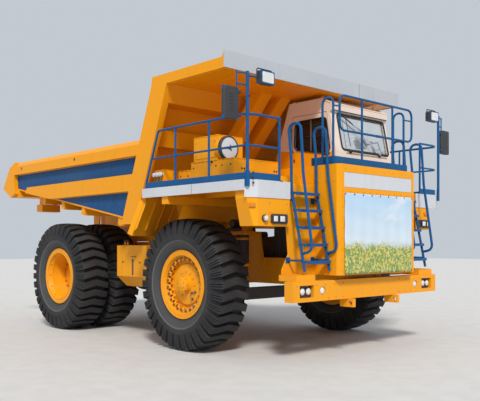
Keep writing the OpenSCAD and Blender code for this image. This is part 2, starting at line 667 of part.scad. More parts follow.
// Hydraulic tank, on the left
module hydraulic_tank() color(paint) {
  front_plate(tank, [1640, 2500]);
  translate([2070, 1350, 1710]) cylinder(r = 70, h = 60, $fn = 32);
  box([2050, 2420], [rail_y, tank_in - seam], [1560, 1640]);
}

// Front axle: a dropped beam with bosses for the kingpins, and the two suspension struts
boss = [axle_z - 150, axle_z + 150];
boss_r = 120;
module front_axle() color(dark) {
  difference() {
    union() {
      front_plate([[-1230, boss[0] + 10], [-1180, boss[0] + 10], [-1060, 760], [1060, 760],
        [1180, boss[0] + 10], [1300, boss[0] + 10], [1300, boss[1] - 10], [1150, boss[1] - 10],
        [1000, 960], [-1000, 960], [-1150, boss[1] - 10], [-1300, boss[1] - 10],
        [-1300, boss[0] + 10]], [front_x - 110, front_x + 110]);
      both_sides() translate([front_x, kingpin_y, boss[0]])
        cylinder(r = boss_r, h = boss[1] - boss[0], $fn = 48);
    }
    both_sides() translate([front_x, kingpin_y, boss[0] - 1])
      cylinder(r = kingpin_r + pin_gap, h = boss[1] - boss[0] + 2, $fn = 48);
  }
  both_sides() {
    translate([front_x, strut_y, 955]) cylinder(r = 80, h = 500, $fn = 32);
    translate([front_x, strut_y, 1350]) cylinder(r = 115, h = strut_top - 1350, $fn = 40);
  }
}

// Rear axle: banjo housing, spindles for the twin wheels, and the rear struts
spindle_r = 180;
rear_hub_in = rear_track_half - twin_pitch - rim_w / 2 - 70;
module rear_axle() color(dark) {
  translate([0, 0, axle_z]) sphere(r = ball_r, $fn = 48);
  both_sides() {
    cross_pin(0, axle_z, 260, [0, rear_hub_in - 15]);
    cross_pin(0, axle_z, spindle_r, [rear_hub_in - 15, rear_track_half - rim_w / 2 - 31]);
    box([-560, -120], [520, 700], [axle_z - 40, axle_z + 100]);
    translate([-400, 610, axle_z + 90]) cylinder(r = 65, h = 500, $fn = 32);
    translate([-400, 610, 1420]) cylinder(r = 95, h = strut_top - 60 - 1420, $fn = 40);
  }
}

// Steering knuckle: a fork round the axle's boss with kingpin, spindle and steering arm
ear_t = 55;
ear_gap = 8;
front_spindle_r = 100;
knuckle_out = kingpin_y + 190;
module knuckle(left) color(dark) on_side(left) {
  low = boss[0] - ear_gap;
  high = boss[1] + ear_gap;
  translate([front_x, kingpin_y, low - ear_t])
    cylinder(r = kingpin_r, h = high - low + 2 * ear_t, $fn = 48);
  for (z = [low - ear_t, high]) {
    translate([front_x, kingpin_y, z]) cylinder(r = 110, h = ear_t, $fn = 48);
    box([front_x - 100, front_x + 100], [kingpin_y, knuckle_out], [z, z + ear_t]);
  }
  box([front_x - 100, front_x + 100], [kingpin_y + boss_r + 15, knuckle_out],
    [low - ear_t, high + ear_t]);
  cross_pin(front_x, axle_z, front_spindle_r, [knuckle_out, front_track_half + 110]);
  side_arm = [[front_x + 20, kingpin_y - 60], [front_x + 20, kingpin_y + 60],
    [front_x - steer_arm, kingpin_y + 40], [front_x - steer_arm, kingpin_y - 40]];
  difference() {
    union() {
      top_plate(side_arm, [low - ear_t, low - ear_t + 40]);
      translate([front_x - steer_arm, kingpin_y, low - ear_t]) cylinder(r = 55, h = 40, $fn = 40);
    }
    translate([front_x - steer_arm, kingpin_y, low - ear_t - 1])
      cylinder(r = 25 + pin_gap, h = 42, $fn = 40);
  }
}

// Tie rod below the steering arms, with an upright pin at each end
module tie_rod() color(dark) {
  z = boss[0] - ear_gap - ear_t;
  x = front_x - steer_arm;
  rod([x, -kingpin_y + 30, z - 60], [x, kingpin_y - 30, z - 60], 32);
  both_sides() {
    translate([x, kingpin_y, z - 95]) cylinder(r = 50, h = 90, $fn = 32);
    translate([x, kingpin_y, z - 95]) cylinder(r = 25, h = 145, $fn = 32);
  }
}

// Turned shape about a wheel's axis; the outline is radius and distance outwards
module turned(y, outline)
  translate([0, y, 0]) rotate([-90, 0, 0]) rotate_extrude($fn = 96) polygon(outline);

// Front rim: barrel with flanges, wheel disc, hub with cap, and the ring of clamps
rim_bed = rim_r - 50;
flange_t = 14;
lip_r = rim_r + 12;
lip_in = flange_t + 5.5;
lip_out = flange_t + 11;
function barrel(half) = [[lip_r, -half - lip_out], [lip_r, -half - lip_in], [rim_r, -half - flange_t - 0.3],
  [rim_r, half + flange_t + 0.3], [lip_r, half + lip_in], [lip_r, half + lip_out]];
module rim_front(left) color(paint) on_side(left) translate([front_x, 0, axle_z]) {
  half = rim_w / 2;
  bore = front_spindle_r + pin_gap;
  turned(front_track_half, [[bore, -340], [230, -340], [230, 20], [rim_bed - 14, 40],
    [rim_bed - 14, -half - lip_out], each barrel(half), [rim_bed - 20, half + lip_out],
    [rim_bed - 34, half - 20], [rim_bed - 40, 110], [360, 90], [330, 130], [150, 150],
    [130, 235], [0, 240], [0, 115], [bore, 115]]);
  for (a = [0 : 15 : 345]) rotate([0, a, 0])
    translate([400, front_track_half + 98, -22]) cube([62, 60, 44]);
}

// Rear rims: two barrels on one hub drum, the outer one a deep dish with a bolt ring
module rims_rear(left) color(paint) on_side(left) translate([0, 0, axle_z]) {
  half = rim_w / 2;
  inner = rear_track_half - twin_pitch;
  bore = spindle_r + pin_gap;
  turned(inner, [[bore, -half - 60], [300, -half - 60], [320, -20], [rim_bed - 14, 0],
    [rim_bed - 14, -half - lip_out], each barrel(half), [rim_bed - 14, half + lip_out],
    [rim_bed - 14, 60], [320, 60], [320, twin_pitch - half - 30], [bore, twin_pitch - half - 30]]);
  turned(rear_track_half, [[0, -half - 30], [rim_bed - 14, -half - 30], each barrel(half),
    [rim_bed - 24, half + lip_out],
    [rim_bed - 60, half - 60], [400, -half + 70], [330, -half + 60], [300, -half + 90],
    [0, -half + 90]]);
  for (a = [0 : 18 : 342]) rotate([0, a, 0])
    translate([365, rear_track_half - half + 60, 0]) rotate([-90, 0, 0])
      cylinder(r = 17, h = 40, $fn = 6);
}

// Tyre: a polyhedron whose rings are bead, wall, shoulder, lug edge and crown; the lugs are bars
// that run back a little towards each shoulder. Steps 2i and 2i+1 are a lug's two edges.
bead_r = (rim_r + 0.3) / cos(360 / lug_count);
lug_share = 0.58;
lug_sweep = 0.35;
function at(p, a) = [p[1] * sin(a), p[0], p[1] * cos(a)];
function lug_a(i, k) = 360 / lug_count * (i + (k - 0.5) * lug_share);
crown_r = tyre_r / cos(180 / lug_count * lug_share);
module tyre(y) translate([0, y, 0]) {
  n = lug_count;
  m = n / 2;
  step = 360 / n;
  half = tyre_w / 2;
  wall = [half, tyre_r * 0.73];
  shoulder = [half - 10, tyre_r - 150];
  edge = [half - 45, tyre_r - 25];
  bead = [rim_w / 2 + flange_t, bead_r];
  sweep = step * lug_sweep;
  coarse = [for (i = [0 : m - 1]) 2 * step * i];
  pairs = [for (i = [0 : n - 1], k = [0, 1]) lug_a(i, k)];
  points = [for (a = coarse) at([-bead[0], bead[1]], a), for (a = coarse) at([-wall[0], wall[1]], a),
    for (a = pairs) at([-shoulder[0], shoulder[1]], a + sweep),
    for (a = pairs) at([-edge[0], edge[1]], a + sweep),
    for (a = pairs) at([0, crown_r], a), for (a = pairs) at([0, tyre_r - lug_depth], a),
    for (a = pairs) at(edge, a + sweep), for (a = pairs) at(shoulder, a + sweep),
    for (a = coarse) at(wall, a), for (a = coarse) at(bead, a)];
  b0 = 0;
  w0 = m;
  s0 = 2 * m;
  e0 = s0 + 2 * n;
  c = e0 + 2 * n;
  f = c + 2 * n;
  e1 = f + 2 * n;
  s1 = e1 + 2 * n;
  w1 = s1 + 2 * n;
  b1 = w1 + m;
  faces = [for (i = [0 : n - 1]) let(p = 2 * i, q = 2 * i + 1, r = (2 * i + 2) % (2 * n)) each [
      [c + p, c + q, e0 + q, e0 + p], [e1 + p, e1 + q, c + q, c + p],
      [e0 + p, e0 + q, s0 + q, s0 + p], [s1 + p, s1 + q, e1 + q, e1 + p],
      [f + q, f + r, s0 + r, s0 + q], [s1 + q, s1 + r, f + r, f + q],
      [s0 + q, e0 + q, f + q], [e0 + q, c + q, f + q], [c + q, e1 + q, f + q],
      [e1 + q, s1 + q, f + q],
      [s0 + r, f + r, e0 + r], [e0 + r, f + r, c + r], [c + r, f + r, e1 + r],
      [e1 + r, f + r, s1 + r]],
    for (j = [0 : m - 1]) let(k = (j + 1) % m, p = 4 * j, t = (4 * j + 4) % (2 * n)) each [
      [s0 + p, s0 + p + 1, w0 + j], [s0 + p + 1, s0 + p + 2, w0 + j],
      [s0 + p + 2, w0 + k, w0 + j], [s0 + p + 2, s0 + p + 3, w0 + k], [s0 + p + 3, s0 + t, w0 + k],
      [s1 + p + 1, s1 + p, w1 + j], [s1 + p + 2, s1 + p + 1, w1 + j],
      [w1 + k, s1 + p + 2, w1 + j], [s1 + p + 3, s1 + p + 2, w1 + k], [s1 + t, s1 + p + 3, w1 + k],
      [w0 + j, w0 + k, b0 + k, b0 + j], [w1 + k, w1 + j, b1 + j, b1 + k],
      [b0 + j, b0 + k, b1 + k, b1 + j]]];
  polyhedron(points, faces, convexity = 6);
}
module tyre_front(left) color("black") on_side(left)
  translate([front_x, 0, axle_z]) tyre(front_track_half);
module tyres_rear(left) color("black") on_side(left) translate([0, 0, axle_z])
  for (y = [rear_track_half - twin_pitch, rear_track_half]) tyre(y);

// Bed shell: floor rising to the rear and the leaning front wall
bed_y = bed_w / 2 - rib_d;
tail_low = [-2100, 2780];
side_end = tail_x + 300;
rail_low = bed_top - 280;
module bed_shell() color(paint) {
  top_z = canopy_z + plate_t;
  side_plate([[floor_front_x, floor_front_z], [side_end, floor_z(side_end)],
    [side_end, floor_z(side_end) + plate_t], [floor_front_x, floor_front_z + plate_t]], [-bed_y, bed_y]);
  side_plate([[floor_front_x, floor_front_z], [wall_x(top_z), top_z], [wall_x(top_z) - plate_t, top_z],
    [floor_front_x - plate_t, floor_front_z]], [-bed_y, bed_y]);
}
// Side plates, standing on the floor behind the wall
module bed_sides() color(blue) {
  up = plate_t * (1 + tan(floor_slope)) / (1 + tan(wall_lean) * tan(floor_slope)) + 2 * seam;
  z = floor_front_z + up;
  both_sides() side_plate([[wall_x(z) - plate_t - seam, z], [wall_x(rail_low) - plate_t - seam, rail_low],
    [side_end + 260, rail_low], [side_end, floor_z(side_end) + plate_t + 60],
    [side_end, floor_z(side_end) + plate_t + 2 * seam]], [bed_y - plate_t, bed_y]);
}

// Bed ribs: top rails, end posts, middle rails and the leaning front posts
post_back = 50;
post_d = 380;
post_lip = 40;
rail_w = 200;
rail_bevel = 95;
module bed_ribs() color(paint) {
  outer = bed_w / 2;
  both_sides() {
    difference() {
      front_plate([[outer - rail_w, rail_low], [outer, rail_low], [outer, bed_top - rail_bevel],
        [outer - rail_bevel, bed_top], [outer - rail_w, bed_top]], [tail_x + 560, wall_x(bed_top) + 60]);
      side_plate([[wall_x(rail_low - 50) - plate_t - seam, rail_low - 50], [4000, rail_low - 50],
        [4000, bed_top + 50], [wall_x(bed_top + 50) - plate_t - seam, bed_top + 50]], [0, bed_y]);
    }
    side_plate([[tail_x + 620, bed_top], [tail_x + 340, bed_top - 110], [tail_x, 3000],
      [tail_low.x, tail_low[1]], [-1900, 2860], [tail_x + 560, 3180]], [bed_y, outer]);
    side_plate([[-1400, 2850], [-1290, 2965], [2800, 2965], [2680, 2670], [-300, 2670]],
      [bed_y, outer]);
    side_plate([[floor_front_x - post_back, 2090], [floor_front_x + 390, 2090],
      [wall_x(canopy_z) + post_d, canopy_z], [wall_x(canopy_z) - post_back, canopy_z]],
      [bed_y, outer]);
    side_plate([[floor_front_x + seam, floor_front_z], [floor_front_x + 390, floor_front_z],
      [wall_x(canopy_z) + post_d, canopy_z], [wall_x(canopy_z) + seam, canopy_z]],
      [bed_y - post_lip, bed_y]);
  }
}

// Bed beams: two along below the floor, four across in lengths between them, and the tail beam
function under_floor(x) = [x, floor_z(x) - seam];
stringer = [-1000, 2380];
module bed_beams() color(paint) {
  both_sides() side_plate([[stringer[0], 1790], under_floor(stringer[0]), under_floor(stringer[1]),
    [stringer[1], 1790]], [rail_in, rail_y]);
  for (x = [-700, 100, 900, 2200], y = [[20 - bed_y, -rail_y - seam], [seam - rail_in, rail_in - seam],
    [rail_y + seam, bed_y - 20]])
    translate([x, 0, floor_z(x)]) rotate([0, floor_slope, 0]) box([-60, 60], y, [-150, -seam]);
  side_plate([[tail_low.x, tail_low[1]], [-1850, 2800], under_floor(-1850), under_floor(side_end)],
    [-bed_y, bed_y]);
}

// Bed brackets: lugs with the pivot pins, lugs for the hoist's eyes, and the exhaust box
module bed_brackets() color(paint) {
  both_sides() {
    for (y = [[rail_y + 10, rail_y + 40], [rail_in - 40, rail_in - 10]]) {
      side_plate([under_floor(pivot_x - 150), under_floor(pivot_x + 150),
        [pivot_x + 105, pivot_z], [pivot_x - 105, pivot_z]], y);
      cross_pin(pivot_x, pivot_z, 105, y);
    }
    cross_pin(pivot_x, pivot_z, pivot_r, [rail_in - 45, rail_y + 45]);
    for (y = [[hoist_y - 98, hoist_y - 83], [hoist_y + 83, hoist_y + 98]]) {
      side_plate([under_floor(hoist_top_x - 130), under_floor(hoist_top_x + 130),
        [hoist_top_x + 80, hoist_top_z], [hoist_top_x - 80, hoist_top_z]], y);
      cross_pin(hoist_top_x, hoist_top_z, 80, y);
    }
  }
  box([-1350, -1100], [-1990, -1560], [2440, 2600]);
  for (y = [-1950, -1630]) side_plate([[-1300, 2600], under_floor(-1300), under_floor(-1150),
    [-1150, 2600]], [y, y + 15]);
}

// Canopy over the cab: soffit sheet, side beams, top ribs, the box ribs across the front wall and the
// two struts that run down the wall beside the cab
rib_high = [4100, canopy_z];
rib_low = [3430, 3700];
rib_low_d = 200;
canopy_strut_y = [[-600, -330], [-100, 150]];
strut_head = [4300, 4030];
strut_foot = [2580, 3096];
function on_wall(z) = [wall_x(z) + seam, z];
module canopy() color(paint) {
  rear = wall_x(canopy_z);
  outer = bed_w / 2;
  inner = bed_y - post_lip;
  side_plate([on_wall(canopy_z), on_wall(canopy_z + plate_t),
    [canopy_front - 20, canopy_z + plate_t], [canopy_front - 20, canopy_z]], [-bed_y, bed_y]);
  both_sides() {
    side_plate([[rear - post_back, canopy_z], [canopy_front - 20, canopy_z],
      [canopy_front - 20, canopy_z + fascia_h - 5], [canopy_front - 90, canopy_z + canopy_beam_h],
      [rear - 20, canopy_z + canopy_beam_h]], [bed_y, outer]);
    box([rear, canopy_front - 20], [700, 780], [canopy_z + plate_t, canopy_z + 130]);
  }
  side_plate([on_wall(rib_high[0]), [wall_x(rib_high[0]) + post_d, rib_high[0]],
    [wall_x(rib_high[1]) + post_d, rib_high[1]], on_wall(rib_high[1])], [-inner, inner]);
  side_plate([on_wall(rib_low[0]), [wall_x(rib_low[0]) + rib_low_d, rib_low[0]],
    [wall_x(rib_low[1]) + rib_low_d, rib_low[1]], on_wall(rib_low[1])], [-inner, inner]);
  for (y = canopy_strut_y) side_plate([[strut_head[0], canopy_z], [strut_head[1], canopy_z],
    on_wall(strut_foot[1]), on_wall(strut_foot[0])], y);
}

// White board along the canopy's front edge
module canopy_fascia() color(white)
  box([canopy_front - 20, canopy_front], [-bed_w / 2 - 16, bed_w / 2 + 16], [canopy_z, canopy_z + fascia_h]);

// Hoist cylinders: barrel, middle stage and rod, each along its own line from the lower pin
hoist_run = [hoist_top_x - hoist_x, hoist_top_z - hoist_z];
hoist_length = norm(hoist_run);
hoist_lean = atan2(hoist_run[0], hoist_run[1]);
stage_r = hoist_r - 22;
rod_r = stage_r - 22;
eye_r = 82;
module along_hoist(left) on_side(left)
  translate([hoist_x, hoist_y, hoist_z]) rotate([0, hoist_lean, 0]) children();
module eye(r, w, bore) difference() {
  translate([0, -w / 2, 0]) rotate([-90, 0, 0]) cylinder(r = r, h = w, $fn = 40);
  translate([0, -w / 2 - 1, 0]) rotate([-90, 0, 0]) cylinder(r = bore, h = w + 2, $fn = 40);
}
module hoist_barrel(left) color(paint) along_hoist(left) {
  eye(eye_r, 150, 45 + pin_gap);
  difference() {
    translate([0, 0, 70]) cylinder(r = hoist_r, h = hoist_length - 220, $fn = 48);
    translate([0, 0, 90]) cylinder(r = stage_r + pin_gap, h = hoist_length, $fn = 48);
  }
}
module hoist_stage(left) color("silver") along_hoist(left) difference() {
  translate([0, 0, 95]) cylinder(r = stage_r, h = hoist_length - 225, $fn = 48);
  translate([0, 0, 110]) cylinder(r = rod_r + pin_gap, h = hoist_length, $fn = 48);
}
module hoist_rod(left) color("silver") along_hoist(left) {
  translate([0, 0, 115]) cylinder(r = rod_r, h = hoist_length - 115 - 60, $fn = 40);
  translate([0, 0, hoist_length]) rotate([-90, 0, 0])
    translate([0, 0, -75]) cylinder(r = eye_r - 2, h = 150, $fn = 40);
}

place() frame();
place() cross_members();
place() hoist_hangers();
place() strut_towers();
place() powertrain();
place() bumper();
place() radiator_shell();
place() radiator_grille();
place() white_panels();
place() mirror([0, 1, 0]) deck([deck_w / 2 - 120, deck_w / 2 - 30]);  // deck_right
place() deck([deck_w / 2 - 400, deck_w / 2 - 400]);  // deck_left
place() front_panels();
place() platform();
place() ladders();
place() deck_railings();
place() front_railing();
place() mirrors();
place() headlamps();
place() deck_boxes();
place() air_intake();
place() cab_shell();
place() cab_glass();
place() driver_seat();
place() dashboard();
place() fuel_tank();
place() hydraulic_tank();
place() front_axle();
place() rear_axle();
place() bed_shell();
place() bed_sides();
place() bed_ribs();
place() bed_beams();
place() bed_brackets();
place() canopy();
place() canopy_fascia();
place() hoist_barrel(true);  // hoist_barrel_left
place() hoist_barrel(false);  // hoist_barrel_right
place() hoist_stage(true);  // hoist_stage_left
place() hoist_stage(false);  // hoist_stage_right
place() hoist_rod(true);  // hoist_rod_left
place() hoist_rod(false);  // hoist_rod_right
place() cab_door([cab_left - cab_t, cab_left], 1);  // cab_door_left
place() cab_door([cab_right, cab_right + cab_t], -1);  // cab_door_right
place() door_glass([cab_left - cab_t, cab_left]);  // door_glass_left
place() door_glass([cab_right, cab_right + cab_t]);  // door_glass_right
place() knuckle(true);  // knuckle_left
place() knuckle(false);  // knuckle_right
place() tie_rod();
place() rim_front(true);  // rim_front_left
place() rim_front(false);  // rim_front_right
place() tyre_front(true);  // tyre_front_left
place() tyre_front(false);  // tyre_front_right
place() rims_rear(true);  // rims_rear_left
place() rims_rear(false);  // rims_rear_right
place() tyres_rear(true);  // tyres_rear_left
place() tyres_rear(false);  // tyres_rear_right
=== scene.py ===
"""Looks of a rigid mining dump truck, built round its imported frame.

Metres, X forward, Y to the driver's left, Z up, the ground is Z = 0. New pieces are drawn with x counted
forward from the rear axle, and at() turns such an x into the frame's own.
"""
import json
from math import cos, pi, radians, sin, tan

import bmesh
import bpy
import numpy as np
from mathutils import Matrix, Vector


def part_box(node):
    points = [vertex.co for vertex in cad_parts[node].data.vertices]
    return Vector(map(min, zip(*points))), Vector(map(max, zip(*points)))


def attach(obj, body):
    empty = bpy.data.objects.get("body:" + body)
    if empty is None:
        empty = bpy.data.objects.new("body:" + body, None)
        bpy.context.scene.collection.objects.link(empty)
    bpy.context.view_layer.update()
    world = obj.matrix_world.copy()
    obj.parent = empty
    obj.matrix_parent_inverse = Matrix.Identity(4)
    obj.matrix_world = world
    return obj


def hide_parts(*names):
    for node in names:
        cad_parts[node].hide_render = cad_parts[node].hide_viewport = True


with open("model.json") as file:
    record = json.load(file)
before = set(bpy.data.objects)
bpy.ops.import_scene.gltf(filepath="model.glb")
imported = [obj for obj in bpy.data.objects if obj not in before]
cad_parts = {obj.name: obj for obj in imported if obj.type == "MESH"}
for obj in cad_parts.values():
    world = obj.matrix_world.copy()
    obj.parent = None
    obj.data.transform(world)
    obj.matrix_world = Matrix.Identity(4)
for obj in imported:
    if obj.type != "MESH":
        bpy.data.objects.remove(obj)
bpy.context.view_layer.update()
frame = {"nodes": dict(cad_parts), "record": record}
nodes = frame["nodes"]

rear_low, rear_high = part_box("tyres_rear_left")
REAR_X = (rear_low.x + rear_high.x) / 2


def at(x):
    """X of a place that lies x metres ahead of the rear axle."""
    return x + REAR_X


# The photograph's camera, level and ahead of the truck's right front corner: the height of its eye, the way
# it looks, counted from X, and its focal length in pixels of a picture 480 wide
EYE_HEIGHT, HEADING, FOCAL, PICTURE_WIDTH = 1.762, 136.791, 686.6, 480
camera_data = bpy.data.cameras.new("photo_camera")
camera = bpy.data.objects.new("photo_camera", camera_data)
bpy.context.scene.collection.objects.link(camera)
camera.location = (at(12.827), -9.081, EYE_HEIGHT)
camera.rotation_euler = (radians(90.064), 0, radians(HEADING - 90))
camera_data.sensor_width = 36
camera_data.lens = FOCAL / PICTURE_WIDTH * 36
camera_data.shift_x = -0.0044
camera_data.shift_y = 0.0863
bpy.context.scene.camera = camera


class Value:
    """A shader socket in a Python expression: each operator adds its Math node."""

    def __init__(self, finish, socket):
        self.finish = finish
        self.socket = socket

    def math(self, operation, *others, clamp=False):
        return self.finish.node("Math", {"operation": operation, "use_clamp": clamp}, self, *others)

    def __add__(self, other):
        return self.math("ADD", other)

    def __sub__(self, other):
        return self.math("SUBTRACT", other)

    def __rsub__(self, other):
        return self.finish.node("Math", {"operation": "SUBTRACT"}, other, self)

    def __mul__(self, other):
        return self.math("MULTIPLY", other)

    def __gt__(self, other):
        return self.math("GREATER_THAN", other)

    def __lt__(self, other):
        return self.math("LESS_THAN", other)

    def clamped(self):
        return self.math("MULTIPLY", 1.0, clamp=True)

    def ramp(self, low, high):
        """0 below low, 1 above high and a straight line between them."""
        return self.finish.node("MapRange", {"clamp": True}, self, low, high, 0.0, 1.0)

    def smooth(self, low, high):
        """As ramp, with soft ends."""
        return self.finish.node("MapRange", {"clamp": True, "interpolation_type": "SMOOTHSTEP"},
                                self, low, high, 0.0, 1.0)

    def wave(self, step):
        """A triangle wave of this length: 0 at its middle and 1 at its ends."""
        return (self.math("PINGPONG", step / 2)) * (2 / step)


class Finish:
    """A material: one Principled surface and the nodes that feed it."""

    def __init__(self, name):
        self.material = bpy.data.materials.new(name)
        self.material.use_nodes = True
        self.tree = self.material.node_tree
        self.surface = self.tree.nodes["Principled BSDF"]

    def node(self, kind, settings, *inputs, out=0, **named):
        """Adds a node: its type, its settings, then its sockets in order or by name."""
        made = self.tree.nodes.new("ShaderNode" + kind)
        for key, value in settings.items():
            setattr(made, key, value)
        sockets = [s for s in made.inputs if s.enabled]
        for socket, value in [*zip(sockets, inputs), *((self.named(made, k), v) for k, v in named.items())]:
            self.feed(socket, value)
        outputs = [s for s in made.outputs if s.enabled]
        return Value(self, outputs[out] if isinstance(out, int) else made.outputs[out])

    @staticmethod
    def named(made, key):
        return next(s for s in made.inputs if s.enabled and s.name.replace(" ", "") == key)

    def feed(self, socket, value):
        if isinstance(value, Value):
            self.tree.links.new(value.socket, socket)
        elif value is not None:
            if socket.type == "RGBA" and len(value) == 3:
                value = (*value, 1)
            socket.default_value = value

    def set(self, **sockets):
        """Feeds the surface's sockets; Base Color is written BaseColor, and so on."""
        for key, value in sockets.items():
            self.feed(self.named(self.surface, key), value)
        return self

    def place(self):
        return self.node("TexCoord", {}, out="Object")

    def axis(self, name):
        return self.node("SeparateXYZ", {}, self.place(), out="XYZ".index(name))

    def noise(self, scale, detail, place=None):
        return self.node("TexNoise", {}, place or self.place(), None, Scale=scale, Detail=detail, Roughness=0.55)

    def stretched(self, x, y, z):
        """The object's coordinates, each made this many times longer."""
        return self.node("Mapping", {"vector_type": "POINT"}, self.place(), Scale=(x, y, z))

    def mix(self, factor, a, b):
        """Colour a, and b where the factor is 1."""
        return self.node("Mix", {"data_type": "RGBA"}, factor, a, b)

    def bump(self, height, strength, distance):
        return self.node("Bump", {}, Height=height, Strength=strength, Distance=distance)


YELLOW, YELLOW_FADED, CREAM = (0.85, 0.33, 0.0015), (0.81, 0.345, 0.006), (0.80, 0.67, 0.57)
DUST = (0.30, 0.26, 0.21)
# The side panels' inner faces and where the bed's inside ends; the cab's belt line at its rear edge, its fall
# for each metre ahead, and the front pillars, which are cream down to the deck
PANEL_INNER_Y, BED_INSIDE_X = 2.146, 2.6
BELT_Z, BELT_FALL, BELT_X, PILLAR_X = 3.46, 0.085, 3.9, 5.225


def painted(name, colour, faded, rough=0.36, dust=0.2, streaks=0.3):
    """Enamel on plate: cloudy fading, dust that thins with height, faint rain streaks, orange peel."""
    f = Finish(name)
    cloud = f.noise(0.9, 4.0).smooth(0.35, 0.7)
    fine = f.noise(14.0, 4.0)
    streak = f.noise(1.0, 3.0, place=f.stretched(9, 9, 0.7)).smooth(0.5, 0.78)
    high = f.axis("Z").ramp(0.2, 3.2)
    grime = ((1.0 - high) * dust + 0.03) * fine.smooth(0.42, 0.66)
    base = f.mix(cloud * 0.55, colour, faded)
    base = f.mix(streak * streaks * 0.35, base, tuple(0.55 * c for c in colour))
    base = f.mix(grime * 0.75, base, DUST)
    return f.set(BaseColor=base, Roughness=(grime * 0.4 + fine * 0.1 + (rough - 0.05)).clamped(),
                 Normal=f.bump(f.noise(160.0, 2.0), 0.25, 0.0006), SpecularIORLevel=0.2)


def panel_paint():
    """The bed's side panels: weathered blue outside, and the machine's own colour on their inner faces."""
    f = painted("blue_panel", (0.004, 0.066, 0.205), (0.026, 0.086, 0.19), rough=0.46, dust=0.1, streaks=1.0)
    old = f.surface.inputs["Base Color"].links[0].from_socket
    inside = f.axis("Y").math("ABSOLUTE") < PANEL_INNER_Y
    bare = f.noise(2.0, 5.0, place=f.stretched(1, 1, 3)).smooth(0.42, 0.66)
    worn = f.mix(bare, YELLOW_FADED, (0.30, 0.25, 0.20))
    f.set(BaseColor=f.mix(inside * (f.axis("X") < at(BED_INSIDE_X)), Value(f, old), worn))
    return f


def rubber():
    """Tyre rubber: near black with a grey-brown bloom of dust; "tone" lightens the rubbed band of a sidewall where
    it is above 0, and where it is below 0, in the grooves between lugs, it darkens the rubber as painted shade."""
    f = Finish("tyre_rubber")
    fine = f.noise(30.0, 4.0)
    bloom = f.noise(2.2, 4.0).smooth(0.35, 0.75)
    tone = f.node("Attribute", {"attribute_name": "tone"}, out="Fac")
    base = f.mix(bloom * 0.45, (0.014, 0.0145, 0.017), (0.045, 0.044, 0.043))
    base = f.mix(fine.smooth(0.55, 0.75) * 0.35, base, (0.09, 0.083, 0.074))
    base = f.mix((tone * (fine * 0.35 + 0.6)).clamped(), base, (0.16, 0.163, 0.168))
    # Negative tone darkens the grooves between lugs: painted shade
    base = f.mix((tone * -0.7).clamped(), base, (0.012, 0.012, 0.013))
    f.set(BaseColor=base, Roughness=fine * 0.25 + 0.62, Normal=f.bump(f.noise(220.0, 3.0), 0.35, 0.0008))
    return f


def cab_paint():
    """The cab's two colours: cream above a belt line that falls forward, the machine's own below."""
    f = painted("cab_cream", CREAM, (0.74, 0.60, 0.50), rough=0.42, dust=0.1)
    belt = f.axis("Z") + (f.axis("X") - at(BELT_X)) * BELT_FALL
    below = (belt < BELT_Z) * (f.axis("X") < at(PILLAR_X))
    old = f.surface.inputs["Base Color"].links[0].from_socket
    lower = f.mix(f.noise(0.9, 4.0).smooth(0.35, 0.7) * 0.5, YELLOW, YELLOW_FADED)
    f.set(BaseColor=f.mix(below, Value(f, old), lower))
    return f


def metal(name, colour, rough, metallic=1.0, grain=60.0):
    """Bare or plated metal with a cloudy sheen."""
    f = Finish(name)
    cloud = f.noise(grain, 3.0)
    f.set(BaseColor=f.mix(cloud.smooth(0.3, 0.7) * 0.5, colour, tuple(0.7 * c for c in colour)),
          Roughness=cloud * 0.2 + (rough - 0.1), Normal=f.bump(cloud, 0.15, 0.0006))
    f.set(Metallic=metallic)
    return f


def glass(name, colour, alpha, mirror=0.0, ahead=None):
    """Tinted pane with smears on it; a mirror share above 0 makes it throw back the sky. Panes further forward than
    ahead keep the pale colour, and the panes behind them are made dark: painted shade."""
    f = Finish(name)
    smear = f.noise(5.0, 4.0).smooth(0.4, 0.7)
    base = f.mix(smear * 0.3, colour, tuple(min(1, 1.5 * c) for c in colour))
    if ahead is not None:
        # Panes behind ahead take a near-black colour: painted shade
        dark = f.mix(smear * 0.4, (0.055, 0.06, 0.065), (0.09, 0.095, 0.10))
        base = f.mix(f.axis("X") > ahead, dark, base)
    f.set(BaseColor=base, Roughness=smear * 0.08 + 0.05, Alpha=smear * 0.06 + alpha)
    f.set(IOR=1.5, Metallic=mirror)
    return f


def soft(name, colour, scale, rough=0.9):
    """Woven cover or moulded plastic with a fine grain."""
    f = Finish(name)
    grain = f.noise(scale, 3.0)
    f.set(BaseColor=f.mix(grain.smooth(0.35, 0.65), colour, tuple(1.5 * c for c in colour)),
          Roughness=grain * 0.15 + (rough - 0.1), Normal=f.bump(grain, 0.4, 0.001))
    return f


def printed_cover():
    """A printed sheet: a pale sky that fades down into soft green and yellow specks, with no words on it."""
    f = Finish("printed_cover")
    z = f.axis("Z")
    sky = f.mix(z.ramp(1.3, 2.5), (0.72, 0.76, 0.78), (0.42, 0.60, 0.78))
    cloud = f.noise(1.4, 5.0, place=f.stretched(1, 1, 2.2)).smooth(0.48, 0.72)
    sky = f.mix(cloud * 0.7, sky, (0.78, 0.80, 0.81))
    speck = f.noise(26.0, 3.0)
    meadow = f.mix(speck.smooth(0.45, 0.6), (0.16, 0.27, 0.07), (0.62, 0.52, 0.10))
    meadow = f.mix(f.noise(34.0, 2.0).smooth(0.6, 0.68), meadow, (0.72, 0.70, 0.66))
    horizon = (z + f.noise(5.0, 4.0) * 0.22).smooth(1.92, 1.76)
    f.set(BaseColor=f.mix(horizon, sky, meadow), Roughness=f.noise(40.0, 2.0) * 0.12 + 0.42,
          Normal=f.bump(f.noise(600.0, 2.0), 0.2, 0.0004))
    return f


